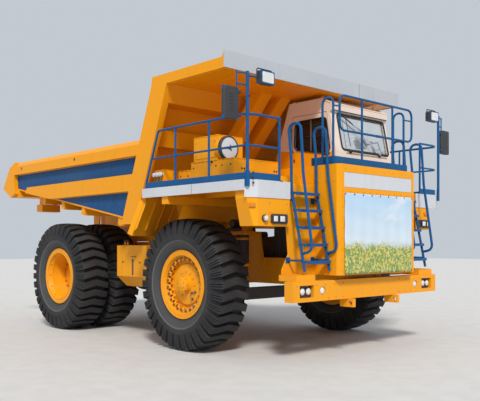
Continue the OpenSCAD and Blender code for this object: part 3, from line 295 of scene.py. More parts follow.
def tread_plate():
    """Walkway plate: raised bars in two crossing directions, their tops worn bright."""
    f = Finish("tread_plate")
    x, y = f.axis("X"), f.axis("Y")
    one = ((x + y).wave(0.045) > 0.72) * ((x - y).wave(0.03) < 0.55)
    fine = f.noise(30.0, 4.0)
    base = f.mix(f.noise(1.6, 4.0).smooth(0.35, 0.7), (0.19, 0.18, 0.165), (0.26, 0.22, 0.15))
    base = f.mix(one * fine.smooth(0.35, 0.6) * 0.8, base, (0.46, 0.45, 0.43))
    f.set(BaseColor=base, Roughness=fine * 0.2 + 0.5, Normal=f.bump(one + fine * 0.15, 0.7, 0.002))
    return f


def scoured_steel():
    """Plate that rock has scoured: scratches along the bed over patches of rust and dust."""
    f = Finish("scoured_steel")
    scratch = f.noise(3.0, 5.0, place=f.stretched(0.5, 14, 14)).smooth(0.45, 0.7)
    patch = f.noise(1.1, 5.0).smooth(0.42, 0.62)
    base = f.mix(patch, (0.30, 0.27, 0.24), (0.26, 0.15, 0.085))
    base = f.mix(scratch * 0.6, base, (0.50, 0.49, 0.47))
    f.set(BaseColor=base, Roughness=patch * 0.3 + 0.42, Normal=f.bump(scratch, 0.4, 0.0015))
    f.set(Metallic=0.35)
    return f


finishes = {
    "yellow_paint": painted("yellow_paint", YELLOW, YELLOW_FADED),
    "blue_paint": painted("blue_paint", (0.003, 0.08, 0.235), (0.007, 0.092, 0.255), rough=0.34, dust=0.03),
    "blue_panel": panel_paint(),
    "white_paint": painted("white_paint", (0.60, 0.62, 0.655), (0.52, 0.54, 0.575), dust=0.15),
    # The white paint darkened for the canopy's front board: painted shade
    "fascia_painted_shade": painted("fascia_painted_shade", (0.46, 0.49, 0.535), (0.41, 0.44, 0.485), dust=0.15),
    "cream_paint": cab_paint(),
    "black_iron": metal("black_iron", (0.045, 0.043, 0.042), 0.6, 0.0, 25.0),
    "dark_grille": metal("dark_grille", (0.03, 0.03, 0.033), 0.55, 0.0, 40.0),
    "polished_rod": metal("polished_rod", (0.62, 0.63, 0.65), 0.22),
    "tyre_rubber": rubber(),
    "cab_glass": glass("cab_glass", (0.93, 0.96, 0.97), 0.77, mirror=0.8, ahead=at(5.1)),
    "lamp_lens": glass("lamp_lens", (0.75, 0.76, 0.75), 0.85),
    "seat_cover": soft("seat_cover", (0.035, 0.036, 0.042), 420.0),
    "dark_plastic": soft("dark_plastic", (0.028, 0.028, 0.031), 250.0, 0.6),
    "worn_steel": metal("worn_steel", (0.24, 0.22, 0.20), 0.45, 0.8, 90.0),
    "scoured_steel": scoured_steel(),
    "reflector": metal("reflector", (0.66, 0.67, 0.68), 0.2, 1.0, 8.0),
    "amber_lens": glass("amber_lens", (0.62, 0.20, 0.02), 0.94),
    "printed_cover": printed_cover(),
    "tread_plate": tread_plate(),
}
subparts = frame["record"]["subparts"]
for part in subparts:
    slots = nodes[part["node"]].data.materials
    slots.clear()
    slots.append(finishes[part["material_slot"]].material)
# The canopy's front board takes a darker copy of the white paint: painted shade
nodes["canopy_fascia"].data.materials[0] = finishes["fascia_painted_shade"].material

SIDES = (-1, 1)                        # the truck's right and left
AHEAD, BACK, LEFT, RIGHT, UP = (1, 0, 0), (-1, 0, 0), (0, 1, 0), (0, -1, 0), (0, 0, 1)
SQUARE = ((-1, -1), (1, -1), (1, 1), (-1, 1))


class Form:
    """Points and faces of one piece, in metres, with x counted from the rear axle."""

    def __init__(self):
        self.points, self.faces, self.tones, self.count = [], [], [], 0

    def add(self, points, faces, tone=0.0):
        points = np.asarray(points, float).reshape(-1, 3)
        self.points.append(points)
        self.tones.append(np.zeros(len(points)) + np.ravel(tone))
        self.faces += [[i + self.count for i in face] for face in faces]
        self.count += len(points)

    def mirrored(self):
        """The same form on the truck's other side."""
        made = Form()
        made.points = [p * (1, -1, 1) for p in self.points]
        made.faces, made.tones, made.count = self.faces, self.tones, self.count
        return made


def net(rows, columns, ring):
    """Four-sided faces of a table of points whose rows are closed; the last row joins the first in a ring."""
    i, j = np.meshgrid(np.arange(rows if ring else rows - 1), np.arange(columns), indexing="ij")
    k, m = (i + 1) % rows, (j + 1) % columns
    corners = [i * columns + j, k * columns + j, k * columns + m, i * columns + m]
    return np.stack(corners, -1).reshape(-1, 4).tolist()


def loft(form, rows, ring=False, tone=0.0):
    """Skins closed outlines one after the other, with a flat face on the first and the last."""
    rows = np.asarray(rows, float)
    n, m = rows.shape[:2]
    faces = net(n, m, ring)
    if not ring:
        faces += [list(range(m)), list(range((n - 1) * m, n * m))]
    form.add(rows, faces, tone)


def turned(form, centre, axis, profile, steps, ring=False):
    """Turns a profile of (radius, distance along the axis) pairs about the axis through centre."""
    a = np.array(axis, float) / np.linalg.norm(axis)
    u = np.cross(a, (0.31, 0.52, 0.79))
    u /= np.linalg.norm(u)
    t = np.arange(steps) * 2 * pi / steps
    circle = np.outer(np.cos(t), u) + np.outer(np.sin(t), np.cross(a, u))
    loft(form, [np.array(centre) + h * a + max(r, 0.0004) * circle for r, h in profile], ring)


def inset(outline, d):
    """A closed outline, counted anticlockwise, with each side moved inwards by d."""
    p = np.array(outline, float)
    if np.sum(p[:, 0] * np.roll(p[:, 1], -1) - p[:, 1] * np.roll(p[:, 0], -1)) < 0:
        p = p[::-1]
    e = np.roll(p, -1, 0) - p
    e /= np.linalg.norm(e, axis=1)[:, None]
    n = np.stack([-e[:, 1], e[:, 0]], 1)
    before = np.roll(n, 1, 0)
    return p + d * (n + before) / np.maximum(1 + (n * before).sum(1), 0.3)[:, None]


def rounded(low, high, r, n=4):
    """Outline of an upright rectangle with round corners, each a quarter circle of n points."""
    (x0, y0), (x1, y1) = low, high
    centres = (x1 - r, y1 - r), (x0 + r, y1 - r), (x0 + r, y0 + r), (x1 - r, y0 + r)
    return [(x + r * cos(a), y + r * sin(a)) for k, (x, y) in enumerate(centres)
            for a in k * pi / 2 + np.linspace(0, pi / 2, n)]


def oblong(y, z, half_width, half_height, r, n=4):
    """The same outline by its middle and half its sides."""
    return rounded((y - half_width, z - half_height), (y + half_width, z + half_height), r, n)


def plate(form, across, outline, low, high, bevel, n=1):
    """A plate across X, Y or Z: the outline carried from low to high, its edges bevelled in n steps."""
    axis = "XYZ".index(across)
    turn = [(bevel * (1 - sin(k * pi / 2 / n)), bevel * (1 - cos(k * pi / 2 / n))) for k in range(n + 1)]
    ends = [(low + h, d) for d, h in turn] + [(high - h, d) for d, h in turn[::-1]]
    loft(form, [np.insert(inset(outline, d), axis, h, 1) for h, d in ends])


def slab(form, low, high, bevel, corner, across="Z", n=1):
    """A box by its extents with rounded upright corners and bevelled ends."""
    i = "XYZ".index(across)
    a, b = np.delete(low, i), np.delete(high, i)
    plate(form, across, rounded(a, b, corner), low[i], high[i], bevel, n)


def block(form, x, y, z, *shape):
    """A slab between two values each of x, y and z, given in either order."""
    slab(form, *zip(*map(sorted, (x, y, z))), *shape)


def rounded_path(points, r, n=5, ring=False):
    """A path whose inner corners are replaced by curves that begin r before them."""
    p = [np.array(q, float) for q in points]
    made = [] if ring else [p[0]]
    for i in range(0 if ring else 1, len(p) if ring else len(p) - 1):
        a, b, c = p[i - 1], p[i], p[(i + 1) % len(p)]
        start = b + (a - b) / np.linalg.norm(a - b) * min(r, np.linalg.norm(a - b) / 2)
        end = b + (c - b) / np.linalg.norm(c - b) * min(r, np.linalg.norm(c - b) / 2)
        made += [start * (1 - t) ** 2 + 2 * b * t * (1 - t) + end * t * t for t in np.linspace(0, 1, n)]
    return made if ring else made + [p[-1]]


def tube(form, path, radius, sides=8, ring=False, flat=1.0):
    """A round bar along a path; each ring of points takes its side from the one before, so it doesn't twist."""
    p = np.asarray(path, float)
    after = np.roll(p, -1, 0) if ring else np.vstack([p[1:], p[-1:]])
    before = np.roll(p, 1, 0) if ring else np.vstack([p[:1], p[:-1]])
    d = after - before
    d /= np.linalg.norm(d, axis=1)[:, None]
    side = np.cross(d[0], (0, 0, 1) if abs(d[0][2]) < 0.9 else (1, 0, 0))
    t = np.arange(sides) * 2 * pi / sides
    radius = np.zeros(len(p)) + radius
    rows = []
    for centre, ahead, r in zip(p, d, radius):
        side = side - ahead * side.dot(ahead)
        side /= np.linalg.norm(side)
        rows.append(centre + r * (np.outer(np.cos(t), side) + flat * np.outer(np.sin(t), np.cross(ahead, side))))
    loft(form, rows, ring)


def bent(form, points, corner, radius, sides=8, n=5, ring=False, flat=1.0):
    """A round bar along straight stretches, its bends rounded from corner before each to corner after it."""
    tube(form, rounded_path(points, corner, n, ring), radius, sides, ring, flat)


def weld(form, start, end, r=0.007):
    """A weld bead: a thin bar whose thickness rises and falls with each drop of metal."""
    start, end = np.array(start, float), np.array(end, float)
    steps = max(4, int(np.linalg.norm(end - start) / 0.02))
    t = np.linspace(0, 1, steps)[:, None]
    tube(form, start + (end - start) * t, r * (1 + 0.22 * np.sin(np.arange(steps) * 2.4)), 6)


def bolts(form, places, axis, r):
    """Hexagon bolts with washers, their heads along the axis."""
    for place in places:
        turned(form, place, axis, [(r * 1.8, -0.001), (r * 1.8, r * 0.25), (r * 1.3, r * 0.3)], 10)
        turned(form, place, axis,
               [(r * 1.15, r * 0.2), (r * 1.15, r * 0.95), (r * 0.95, r * 1.15), (r * 0.2, r * 1.2)], 6)


def row(start, end, count):
    """Evenly spaced places from start to end."""
    return [np.array(start) + (np.array(end) - np.array(start)) * t for t in np.linspace(0, 1, count)]


def bolt_row(form, start, end, count, axis, r):
    """Bolts evenly spaced from start to end."""
    bolts(form, row(start, end, count), axis, r)


def circle(centre, across, r, angles):
    """Places round a centre, r from it, in the plane across X, Y or Z."""
    first, second = [k for k in range(3) if k != "XYZ".index(across)]
    places = np.tile(np.array(centre, float), (len(angles), 1))
    places[:, first] += r * np.cos(angles)
    places[:, second] += r * np.sin(angles)
    return places


def shaped(name, points, faces, finish):
    """An object at the origin whose mesh holds these points, smooth and in its finish."""
    mesh = bpy.data.meshes.new(name)
    mesh.from_pydata(points.tolist(), [], faces)
    mesh.polygons.foreach_set("use_smooth", np.ones(len(mesh.polygons), bool))
    mesh.materials.append(finishes[finish].material)
    made = bpy.data.objects.new(name, mesh)
    bpy.context.scene.collection.objects.link(made)
    return made


def piece(name, form, finish, body, *replaced, sharp=32):
    """Makes the form an object of its own that moves with the body and faces outwards; edges that turn by
    more than sharp degrees stay crisp."""
    made = shaped(name, np.concatenate(form.points) + (REAR_X, 0, 0), form.faces, finish)
    mesh, shape = made.data, bmesh.new()
    shape.from_mesh(mesh)
    bmesh.ops.recalc_face_normals(shape, faces=shape.faces)
    shape.to_mesh(mesh)
    shape.free()
    mesh.set_sharp_from_angle(angle=radians(sharp))
    tones = np.concatenate(form.tones)
    if np.any(tones):
        mesh.attributes.new("tone", "FLOAT", "POINT").data.foreach_set("value", tones.astype(np.float32))
    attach(made, body)
    if replaced:
        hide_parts(*replaced)
    return made


def both(name, form, finish, body, *replaced, **settings):
    """A left piece and its mirror image; SIDE in the names of bodies and nodes stands for left and right."""
    for side in ("left", "right"):
        piece(f"{name}_{side}", form if side == "left" else form.mirrored(), finish,
              body.replace("SIDE", side), *[r.replace("SIDE", side) for r in replaced], **settings)


# Wheels: the left side's hubs, with the rear twin's inner wheel TWIN further in
AXLE_Z, FRONT_X, FRONT_Y, REAR_Y, TWIN = 1.08, 4.0, 1.9, 1.94, 0.75
FRONT_HUB, REAR_HUB = (FRONT_X, FRONT_Y, AXLE_Z), (0.0, REAR_Y, AXLE_Z)
# Half of a tyre's outline, from the middle of the tread to the bead: distance from the middle, radius,
# depth of the groove between lugs, depth of the slots that split a lug's shoulder, and tone
TYRE = [(0, 1.08, .075, 0, 0), (.07, 1.0795, .075, 0, 0), (.14, 1.077, .075, 0, 0), (.2, 1.072, .074, 0, 0),
        (.245, 1.066, .072, 0, 0), (.268, 1.061, .068, .004, 0), (.283, 1.05, .064, .014, 0),
        (.292, 1.032, .058, .024, 0), (.3, 1.0, .05, .028, 0), (.307, .965, .043, .03, 0),
        (.3135, .925, .036, .03, 0), (.319, .885, .03, .028, 0), (.3225, .85, .024, .022, 0),
        (.3245, .825, .014, .012, 0), (.325, .808, .004, .003, 0), (.3245, .797, 0, 0, 0), (.322, .765, 0, 0, 0),
        (.3165, .735, 0, 0, 0), (.3125, .7185, 0, 0, .5), (.3095, .7125, 0, 0, 1), (.305, .7085, 0, 0, .5),
        (.298, .69, 0, 0, .3), (.287, .66, 0, 0, .28), (.27, .63, 0, 0, .26), (.254, .605, 0, 0, .2),
        (.24, .587, 0, 0, .1), (.232, .57, 0, 0, 0), (.229, .5605, 0, 0, 0), (.205, .5575, 0, 0, 0)]
LUGS = 34
# Along the tread, in lugs: place, whether it is in the groove, whether it is in a shoulder slot
PITCH = np.array([(0, 0, 0), (.15, 0, 0), (.17, 0, 1), (.205, 0, 1), (.225, 0, 0), (.355, 0, 0), (.375, 0, 1),
                  (.41, 0, 1), (.43, 0, 0), (.58, 0, 0), (.605, 1, 0), (.79, 1, 0), (.975, 1, 0)])


def tyre(form, hub):
    """A tyre whose outline is swept round the wheel while the grooves between its swept lugs and the
    shoulder slots push the surface inwards along its own normal."""
    half = np.array(TYRE)
    rows = np.vstack([half[:0:-1] * (-1, 1, 1, 1, 1), half])
    ahead = np.gradient(rows[:, :2], axis=0)
    normal = np.stack([-ahead[:, 1], ahead[:, 0]], 1) / np.linalg.norm(ahead, axis=1)[:, None]
    pitch = np.tile(PITCH, (LUGS, 1))
    lug = np.repeat(np.arange(LUGS), len(PITCH))
    sweep = .35 * np.clip(np.abs(rows[:, 0]) / .28, 0, 1)
    angle = 2 * pi / LUGS * (lug + pitch[:, 0] - .29 + sweep[:, None])
    depth = rows[:, 2:3] * pitch[:, 1] + rows[:, 3:4] * pitch[:, 2]
    across = rows[:, 0:1] - normal[:, 0:1] * depth
    r = rows[:, 1:2] - normal[:, 1:2] * depth
    # Groove floors get negative tone, which the rubber turns into painted shade
    tone = rows[:, 4:5] - 0.6 * pitch[:, 1] * (rows[:, 2:3] > 0)
    x, y, z = hub
    loft(form, np.stack([x + r * np.sin(angle), y + across, z + r * np.cos(angle)], -1), ring=True, tone=tone)


front_tyre, rear_tyres = Form(), Form()
tyre(front_tyre, FRONT_HUB)
tyre(rear_tyres, REAR_HUB)
tyre(rear_tyres, (0, REAR_Y - TWIN, AXLE_Z))
both("tyre_look_front", front_tyre, "tyre_rubber", "wheel_front_SIDE", "tyre_front_SIDE", sharp=40)
both("tyre_look_rear", rear_tyres, "tyre_rubber", "wheels_rear_SIDE", "tyres_rear_SIDE", sharp=40)


def on_wheel(hub, angle, r, out):
    """The place r from the axle, at this angle from its top, and out from the wheel's middle."""
    return np.array(hub) + (r * sin(angle), out, r * cos(angle))


def ring_of(hub, out, r, count, start=0.0):
    """Places evenly round a wheel, r from its axle."""
    return [on_wheel(hub, start + 2 * pi * k / count, r, out) for k in range(count)]


def wheel_ring(form, hub, profile):
    """A closed profile carried once round a wheel."""
    turned(form, hub, LEFT, profile, 96, ring=True)


def ring_bead(form, hub, r, out, thick):
    """A round bead that runs once round a wheel."""
    wheel_ring(form, hub, [(r + thick * cos(t), out + thick * sin(t)) for t in np.arange(12) * pi / 6])


def valve(form, hub, angle, out, foot, tip):
    """A tyre valve: a bent stem from one radius to another, with its cap."""
    end = on_wheel(hub, angle, tip, out + .035)
    bent(form, [on_wheel(hub, angle, foot, out), on_wheel(hub, angle, foot + .02, out + .03), end], .015, .006)
    turned(form, end, (sin(angle), 0, cos(angle)), [(.009, -.012), (.0095, .008), (.006, .014)], 10)


def front_rim():
    """A front wheel's rim: beads, a dark band (painted shade in the gap under the clamps) crossed by clamps with
    their nuts, the hub's bolts and plugs.
    """
    rim, bright, dark = Form(), Form(), Form()
    for r, out, thick in ((.556, .2405, .0075), (.507, .2405, .005), (.466, .2, .006), (.361, .096, .008)):
        ring_bead(rim, FRONT_HUB, r, out, thick)
    wheel_ring(rim, FRONT_HUB, [(.545, .236), (.538, .2425), (.522, .2425), (.514, .238)])
    turned(rim, FRONT_HUB, LEFT,
           [(.128, .234), (.122, .248), (.1, .258), (.06, .264), (.05, .272), (.02, .274)], 40)
    # A flat near-black ring in the recess between the clamps: painted shade
    wheel_ring(dark, FRONT_HUB, [(.398, .157), (.402, .1605), (.456, .1605), (.46, .157)])
    clamps, middle = 24, .43
    # A clamp's sections from its foot outwards: place, half its depth and half its width
    sections = (.156, .034, .036), (.176, .034, .036), (.182, .029, .031), (.186, .02, .024)
    for a in 2 * pi * (np.arange(clamps) + .5) / clamps:
        ahead, side = np.array((sin(a), 0, cos(a))), np.array((cos(a), 0, -sin(a)))
        loft(rim, [[on_wheel(FRONT_HUB, a, middle, out) + ahead * d * deep + side * u * wide for d, u in SQUARE]
                   for out, deep, wide in sections])
        place = on_wheel(FRONT_HUB, a, middle, .186)
        turned(bright, place, LEFT, [(.0175, -.002), (.0175, .018), (.015, .021)], 6)
        turned(bright, place, LEFT, [(.009, .014), (.009, .034), (.0075, .037)], 10)
    bolts(rim, ring_of(FRONT_HUB, .142, .215, 12), LEFT, .014)
    bolts(rim, ring_of(FRONT_HUB, .237, .142, 10, .2), LEFT, .008)
    bolts(rim, ring_of(FRONT_HUB, .2645, .078, 6), LEFT, .008)
    for a, r in ((2.3, .2), (2.05, .255), (2.55, .28)):
        turned(bright, on_wheel(FRONT_HUB, a, r, .138), LEFT,
               [(.024, 0), (.024, .012), (.017, .014), (.017, .034), (.012, .04)], 12)
    valve(bright, FRONT_HUB, 2.62, .16, .37, .45)
    both("rim_gap_shade_front", dark, "dark_grille", "wheel_front_SIDE")
    both("rim_detail_front", rim, "yellow_paint", "wheel_front_SIDE")
    both("wheel_nuts_front", bright, "worn_steel", "wheel_front_SIDE")


def rear_rim():
    """A rear wheel's rim: a deep dish with its beads, drive cover, bolts, and lugs round the edge."""
    rim, bright = Form(), Form()
    for r, out, thick in ((.556, .2405, .0075), (.478, .2405, .006), (.439, .153, .007), (.4, -.143, .008)):
        ring_bead(rim, REAR_HUB, r, out, thick)
    wheel_ring(rim, REAR_HUB, [(.545, .236), (.538, .2425), (.505, .2425), (.497, .238)])
    turned(rim, REAR_HUB, LEFT,
           [(.288, -.127), (.288, -.1), (.276, -.088), (.12, -.072), (.108, -.05), (.05, -.046)], 64)
    bolts(rim, ring_of(REAR_HUB, -.084, .262, 20), LEFT, .012)
    bolts(rim, ring_of(REAR_HUB, -.05, .085, 8), LEFT, .009)
    for place in ring_of(REAR_HUB, -.116, .365, 20):
        turned(bright, place, LEFT, [(.009, 0), (.009, .022), (.007, .026)], 10)
    turned(bright, np.array(REAR_HUB) + (.18, -.08, .06), LEFT,
           [(.022, 0), (.022, .01), (.014, .012), (.014, .03), (.01, .034)], 12)
    valve(bright, REAR_HUB, 2.5, -.14, .385, .44)
    for a in np.arange(0, 2 * pi, pi / 6):
        lug = [on_wheel(REAR_HUB, a + w, r, 0)[::2]
               for r, w in ((.446, -.05), (.478, -.05), (.478, .05), (.446, .05))]
        plate(rim, "Y", lug, REAR_Y + .168, REAR_Y + .192, .003)
        turned(bright, on_wheel(REAR_HUB, a, .462, .192), LEFT, [(.012, 0), (.012, .014), (.01, .016)], 6)
    both("rim_detail_rear", rim, "yellow_paint", "wheels_rear_SIDE")
    both("wheel_nuts_rear", bright, "worn_steel", "wheels_rear_SIDE")


front_rim()
rear_rim()

# Front: x of the radiator shell, of the panels beside the ladders, of the lamp aprons and of the bumper
FACE, STEP_FACE, APRON_FACE, BUMPER_FACE = 6.36, 5.852, 5.95, 6.22
form = Form()
bolt_row(form, (FACE, -.92, 2.55), (FACE, .92, 2.55), 12, AHEAD, .009)
for y in (-.95, .95):
    bolt_row(form, (FACE, y, 1.36), (FACE, y, 2.46), 8, AHEAD, .009)
bolt_row(form, (FACE, -.88, 2.89), (FACE, .88, 2.89), 8, AHEAD, .008)
for y in (1.13, 1.6):
    bolt_row(form, (STEP_FACE, y, 1.3), (STEP_FACE, y, 2.5), 7, AHEAD, .01)
for s in SIDES:
    bolt_row(form, (5.5, s * 1.01, 2.7), (6.25, s * 1.01, 2.7), 6, (0, s, 0), .009)
    bolt_row(form, (5.5, s * 1.01, 1.4), (5.5, s * 1.01, 2.5), 6, (0, s, 0), .009)
    for y in (1.72, 2.08):
        bolt_row(form, (APRON_FACE, s * y, 2.07), (APRON_FACE, s * y, 2.34), 3, AHEAD, .009)
    bolt_row(form, (BUMPER_FACE, s * .75, 1.15), (BUMPER_FACE, s * 1.8, 1.15), 6, AHEAD, .011)
    bolt_row(form, (BUMPER_FACE, s * .75, .95), (BUMPER_FACE, s * 1.1, .95), 3, AHEAD, .011)
piece("front_bolts", form, "yellow_paint", "chassis")

# Printed cover over the radiator opening: a stretched sheet with shallow ripples between its eyelets
COVER_WIDTH, COVER_HEIGHT, COVER_FOOT = 1.8, 1.23, 1.285
columns, rows = 73, 49
u, v = np.meshgrid(np.linspace(0, 1, columns), np.linspace(0, 1, rows), indexing="ij")
ripple = (.0035 * np.sin(u * 37) * np.sin(v * pi) + .0025 * np.sin(v * 23 + u * 5)
          + .003 * np.sin(u * pi) * np.sin(v * pi))
points = np.stack([at(FACE + .012) + ripple, COVER_WIDTH * (u - .5), COVER_FOOT + COVER_HEIGHT * v], -1)
corner = (np.arange(columns - 1)[:, None] * rows + np.arange(rows - 1)).reshape(-1, 1)
faces = (corner + (0, rows, rows + 1, 1)).tolist()
cover = shaped("radiator_cover", points.reshape(-1, 3), faces, "printed_cover")
thick = cover.modifiers.new("thickness", "SOLIDIFY")
thick.thickness, thick.offset = 0.0015, 0
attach(cover, "chassis")
form = Form()
EYELET = [(.013, -.001), (.0145, .001), (.013, .0035), (.009, .0035), (.0075, .001), (.009, -.001)]
for z in (2.5, 1.3):
    for place in row((FACE + .014, -.885, z), (FACE + .014, .885, z), 9):
        turned(form, place, AHEAD, EYELET, 18, ring=True)
        turned(form, place - (.016, 0, 0), AHEAD,
               [(.006, 0), (.006, .016), (.0095, .017), (.0095, .021), (.004, .024)], 10)
eyelets = piece("cover_eyelets", form, "worn_steel", "chassis")

# Lamps: each has its housing, a bright bowl and a domed lens
housing, bowl, lens, amber = Form(), Form(), Form(), Form()


def square_lamp(x, y, z, w, h):
    """A rectangular lamp that looks ahead: rim, bowl and a crowned lens."""
    outer = oblong(y, z, w / 2, h / 2, .012)
    plate(housing, "X", outer, x, x + .022, .002)
    plate(bowl, "X", inset(outer, .008), x + .02, x + .026, .002)
    middle, inner = np.array((y, z)), inset(outer, .008)
    loft(lens, [np.insert(middle + (inner - middle) * k, 0, x + t, 1)
                for k, t in ((1, .0255), (.97, .029), (.75, .033), (.4, .035), (.1, .0355))])


def round_lamp(x, y, z, r):
    """A round lamp that looks ahead, with a bright ring round its domed lens."""
    turned(bowl, (x, y, z), AHEAD,
           [(r, 0), (r * 1.04, .02), (r * .98, .026), (r * .86, .024), (r * .8, .012), (r * .2, .004)], 40)
    turned(lens, (x, y, z), AHEAD, [(r * .87, .02), (r * .8, .03), (r * .55, .037), (r * .2, .04)], 40)


for s in SIDES:
    plate(housing, "X", oblong(s * 1.895, 2.105, .168, .071, .03, 6), 5.9495, 5.978, .006, 3)
    square_lamp(5.976, s * 2.005, 2.105, .095, .095)
    square_lamp(5.976, s * 1.865, 2.105, .11, .095)
    for y in (1.52, 1.65):
        round_lamp(6.165, s * y, 1.05, .052)
    round_lamp(6.182, s * 1.23, 1.05, .056)
    plate(housing, "X", oblong(s * 1.585, 1.05, .15, .088, .015), 6.1605, 6.166, .002)
round_lamp(5.972, -2.19, 2.11, .044)
turned(housing, (5.9505, -2.19, 2.11), AHEAD, [(.052, 0), (.052, .02), (.046, .026)], 32)
# Side markers: the right one sits on the apron's angled face
for centre, out, side in (((5.9165, -2.4, 2.29), (.914, -.406, 0), (-.406, -.914, 0)),
                          ((5.951, 1.98, 2.29), (1, 0, 0), (0, 1, 0))):
    centre, out, side = np.array(centre), np.array(out), np.array(side)
    loft(amber, [[centre + out * (t + .001) + side * a * w + (0, 0, b * h) for a, b in SQUARE]
                 for w, h, t in ((.048, .03, 0), (.048, .03, .016), (.044, .026, .022), (.02, .012, .025))])
piece("lamp_housings", housing, "dark_plastic", "chassis", "headlamps")
piece("lamp_bowls", bowl, "reflector", "chassis")
piece("lamp_lenses", lens, "lamp_lens", "chassis")
piece("amber_markers", amber, "amber_lens", "chassis")

# Steps: grip bars on the bumper's ends, and the ladders' brackets, grips and welds
form = Form()
for s in SIDES:
    for y in np.arange(1.4, 1.78, .045):
        plate(form, "Y", [(5.87, 1.2905), (6.18, 1.2905), (6.18, 1.298), (5.87, 1.298)],
              s * y - .005, s * y + .005, .001)
piece("step_grip", form, "yellow_paint", "chassis")
form = Form()
for s in SIDES:
    for y in (1.04, 1.6):
        for z in (1.5, 2.4):
            plate(form, "X", oblong(s * y, z, .045, .045, .01), STEP_FACE, STEP_FACE + .008, .001)
            corners = [(STEP_FACE + .008, s * y + a * .03, z + b * .03) for a in SIDES for b in SIDES]
            bolts(form, corners, AHEAD, .007)
    for z in np.arange(1.48, 2.51, .255):
        x = 6.19 - .26 * (z - 1.34) / 1.23
        for dx in (-.03, -.008, .014, .036, .055):
            tube(form, [(x + dx, s * 1.06, z + .0125), (x + dx, s * 1.59, z + .0125)], .004, 6)
        block(form, (x + .056, x + .066), (s * 1.055, s * 1.595), (z - .032, z + .014), .002, .003)
        for y in (1.04, 1.6):
            weld(form, (x - .03, s * y, z - .012), (x + .05, s * y, z - .012), .005)
piece("ladder_fittings", form, "blue_paint", "chassis")

# Cab
SCREEN_X, SCREEN_Z, LEAN = 5.29, 3.37, (5.29 - 5.15) / (4.05 - 3.37)


def on_screen(y, z, out=0.0):
    """A point on the windscreen's outer plane, out metres in front of it."""
    return np.array((SCREEN_X - (z - SCREEN_Z) * LEAN + out, y, z + out * LEAN))


def on_rear_wall(y, z):
    """A point just behind the cab's rear wall, which leans by one in three."""
    return 3.734 + (z - 2.95) / 3, y, z


seal = Form()
screen = [on_screen(y, z, .004) for y, z in ((.405, 3.395), (1.79, 3.395), (1.79, 4.035), (.405, 4.035))]
bent(seal, screen, .07, .021, n=8, ring=True, flat=.5)
rear = [on_rear_wall(y, z) for y, z in ((.415, 3.495), (1.665, 3.495), (1.665, 4.005), (.415, 4.005))]
bent(seal, rear, .06, .018, n=8, ring=True, flat=.5)
tube(seal, [on_screen(.5, 3.365, .03), on_screen(1.7, 3.365, .03)], .011)
for y in (.62, 1.48):
    turned(seal, on_screen(y, 3.365, -.004), (1, 0, LEAN), [(.03, 0), (.03, .025), (.018, .035), (.012, .05)], 16)
tube(seal, [on_screen(.62, 3.46, .028), on_screen(.62, 3.97, .02)], .006, 6)
piece("cab_seals", seal, "tyre_rubber", "chassis")
form = Form()
bent(form, [on_screen(1.48, 3.37, .04), on_screen(1.42, 3.42, .045), on_screen(.72, 3.93, .034)], .03, .008)
bent(form, [on_screen(1.45, 3.36, .05), on_screen(1.39, 3.4, .05), on_screen(.78, 3.85, .036)], .03, .005)
piece("wiper_arm", form, "white_paint", "chassis")
form = Form()
tube(form, [on_screen(.5, 4.02, .022), on_screen(1.0, 3.78, .022)], .008, 6, flat=1.6)
piece("wiper_blade", form, "tyre_rubber", "chassis")

# A door window's outline as (x, z), the gap round a door, and the doors' sides, outer faces and directions
WINDOW = [(4.33, 3.51), (4.38, 3.44), (5.09, 3.32), (5.17, 3.4), (5.085, 3.93), (5.03, 3.97), (4.42, 3.96),
          (4.345, 3.9)]
DOOR_GAP = [(4.262, 3.012), (5.243, 3.012), (5.233, 3.372), (5.1, 4.07), (4.262, 4.07)]
DOORS = ("right", .22, -1), ("left", 1.86, 1)
for side, y, s in DOORS:
    body, out, skin = "cab_door_" + side, (0, s, 0), y + s * .006
    form = Form()
    bent(form, [(x, y + s * .003, z) for x, z in WINDOW], .045, .016, ring=True, flat=.55)
    tube(form, [(4.34, y - s * .012, 3.685), (5.115, y - s * .012, 3.635)], .009, 6)
    piece("window_seal_" + side, form, "tyre_rubber", body)
    form = Form()
    block(form, (4.7, 4.728), (y - s * .02, y), (3.4, 3.955), .002, .004)
    piece("window_bar_" + side, form, "worn_steel", body)
    form = Form()
    plate(form, "Y", [(4.3, 3.05), (5.2, 3.05), (5.19, 3.27), (4.34, 3.4), (4.3, 3.4)], *sorted((y, skin)), .004)
    bolt_row(form, (4.31, skin, 3.07), (5.18, skin, 3.07), 6, out, .006)
    piece("door_panel_" + side, form, "cream_paint", body)
    form = Form()
    block(form, (5.02, 5.16), (y, y + s * .02), (3.3, 3.345), .006, .01, "Y", 3)
    grip = (5.03, .012), (5.03, .05), (5.15, .05), (5.15, .012)
    bent(form, [(x, y + s * d, 3.32) for x, d in grip], .02, .009)
    bent(form, [(4.3, y + s * d, z) for d, z in ((.004, 3.42), (.06, 3.44), (.06, 3.9), (.004, 3.92))], .03, .011)
    piece("door_handles_" + side, form, "dark_plastic", body)
form = Form()
for side, y, s in DOORS:
    bent(form, [(x, y + s * .001, z) for x, z in DOOR_GAP], .03, .006, 6, ring=True)
    weld(form, (4.19, y, 4.3), (4.97, y, 4.3), .005)
    weld(form, (3.745, y, 2.96), (5.315, y, 2.96), .005)
bolt_row(form, (5.31, .32, 3.2), (5.31, 1.76, 3.2), 9, (1, 0, .07), .006)
piece("cab_trim", form, "cream_paint", "chassis")

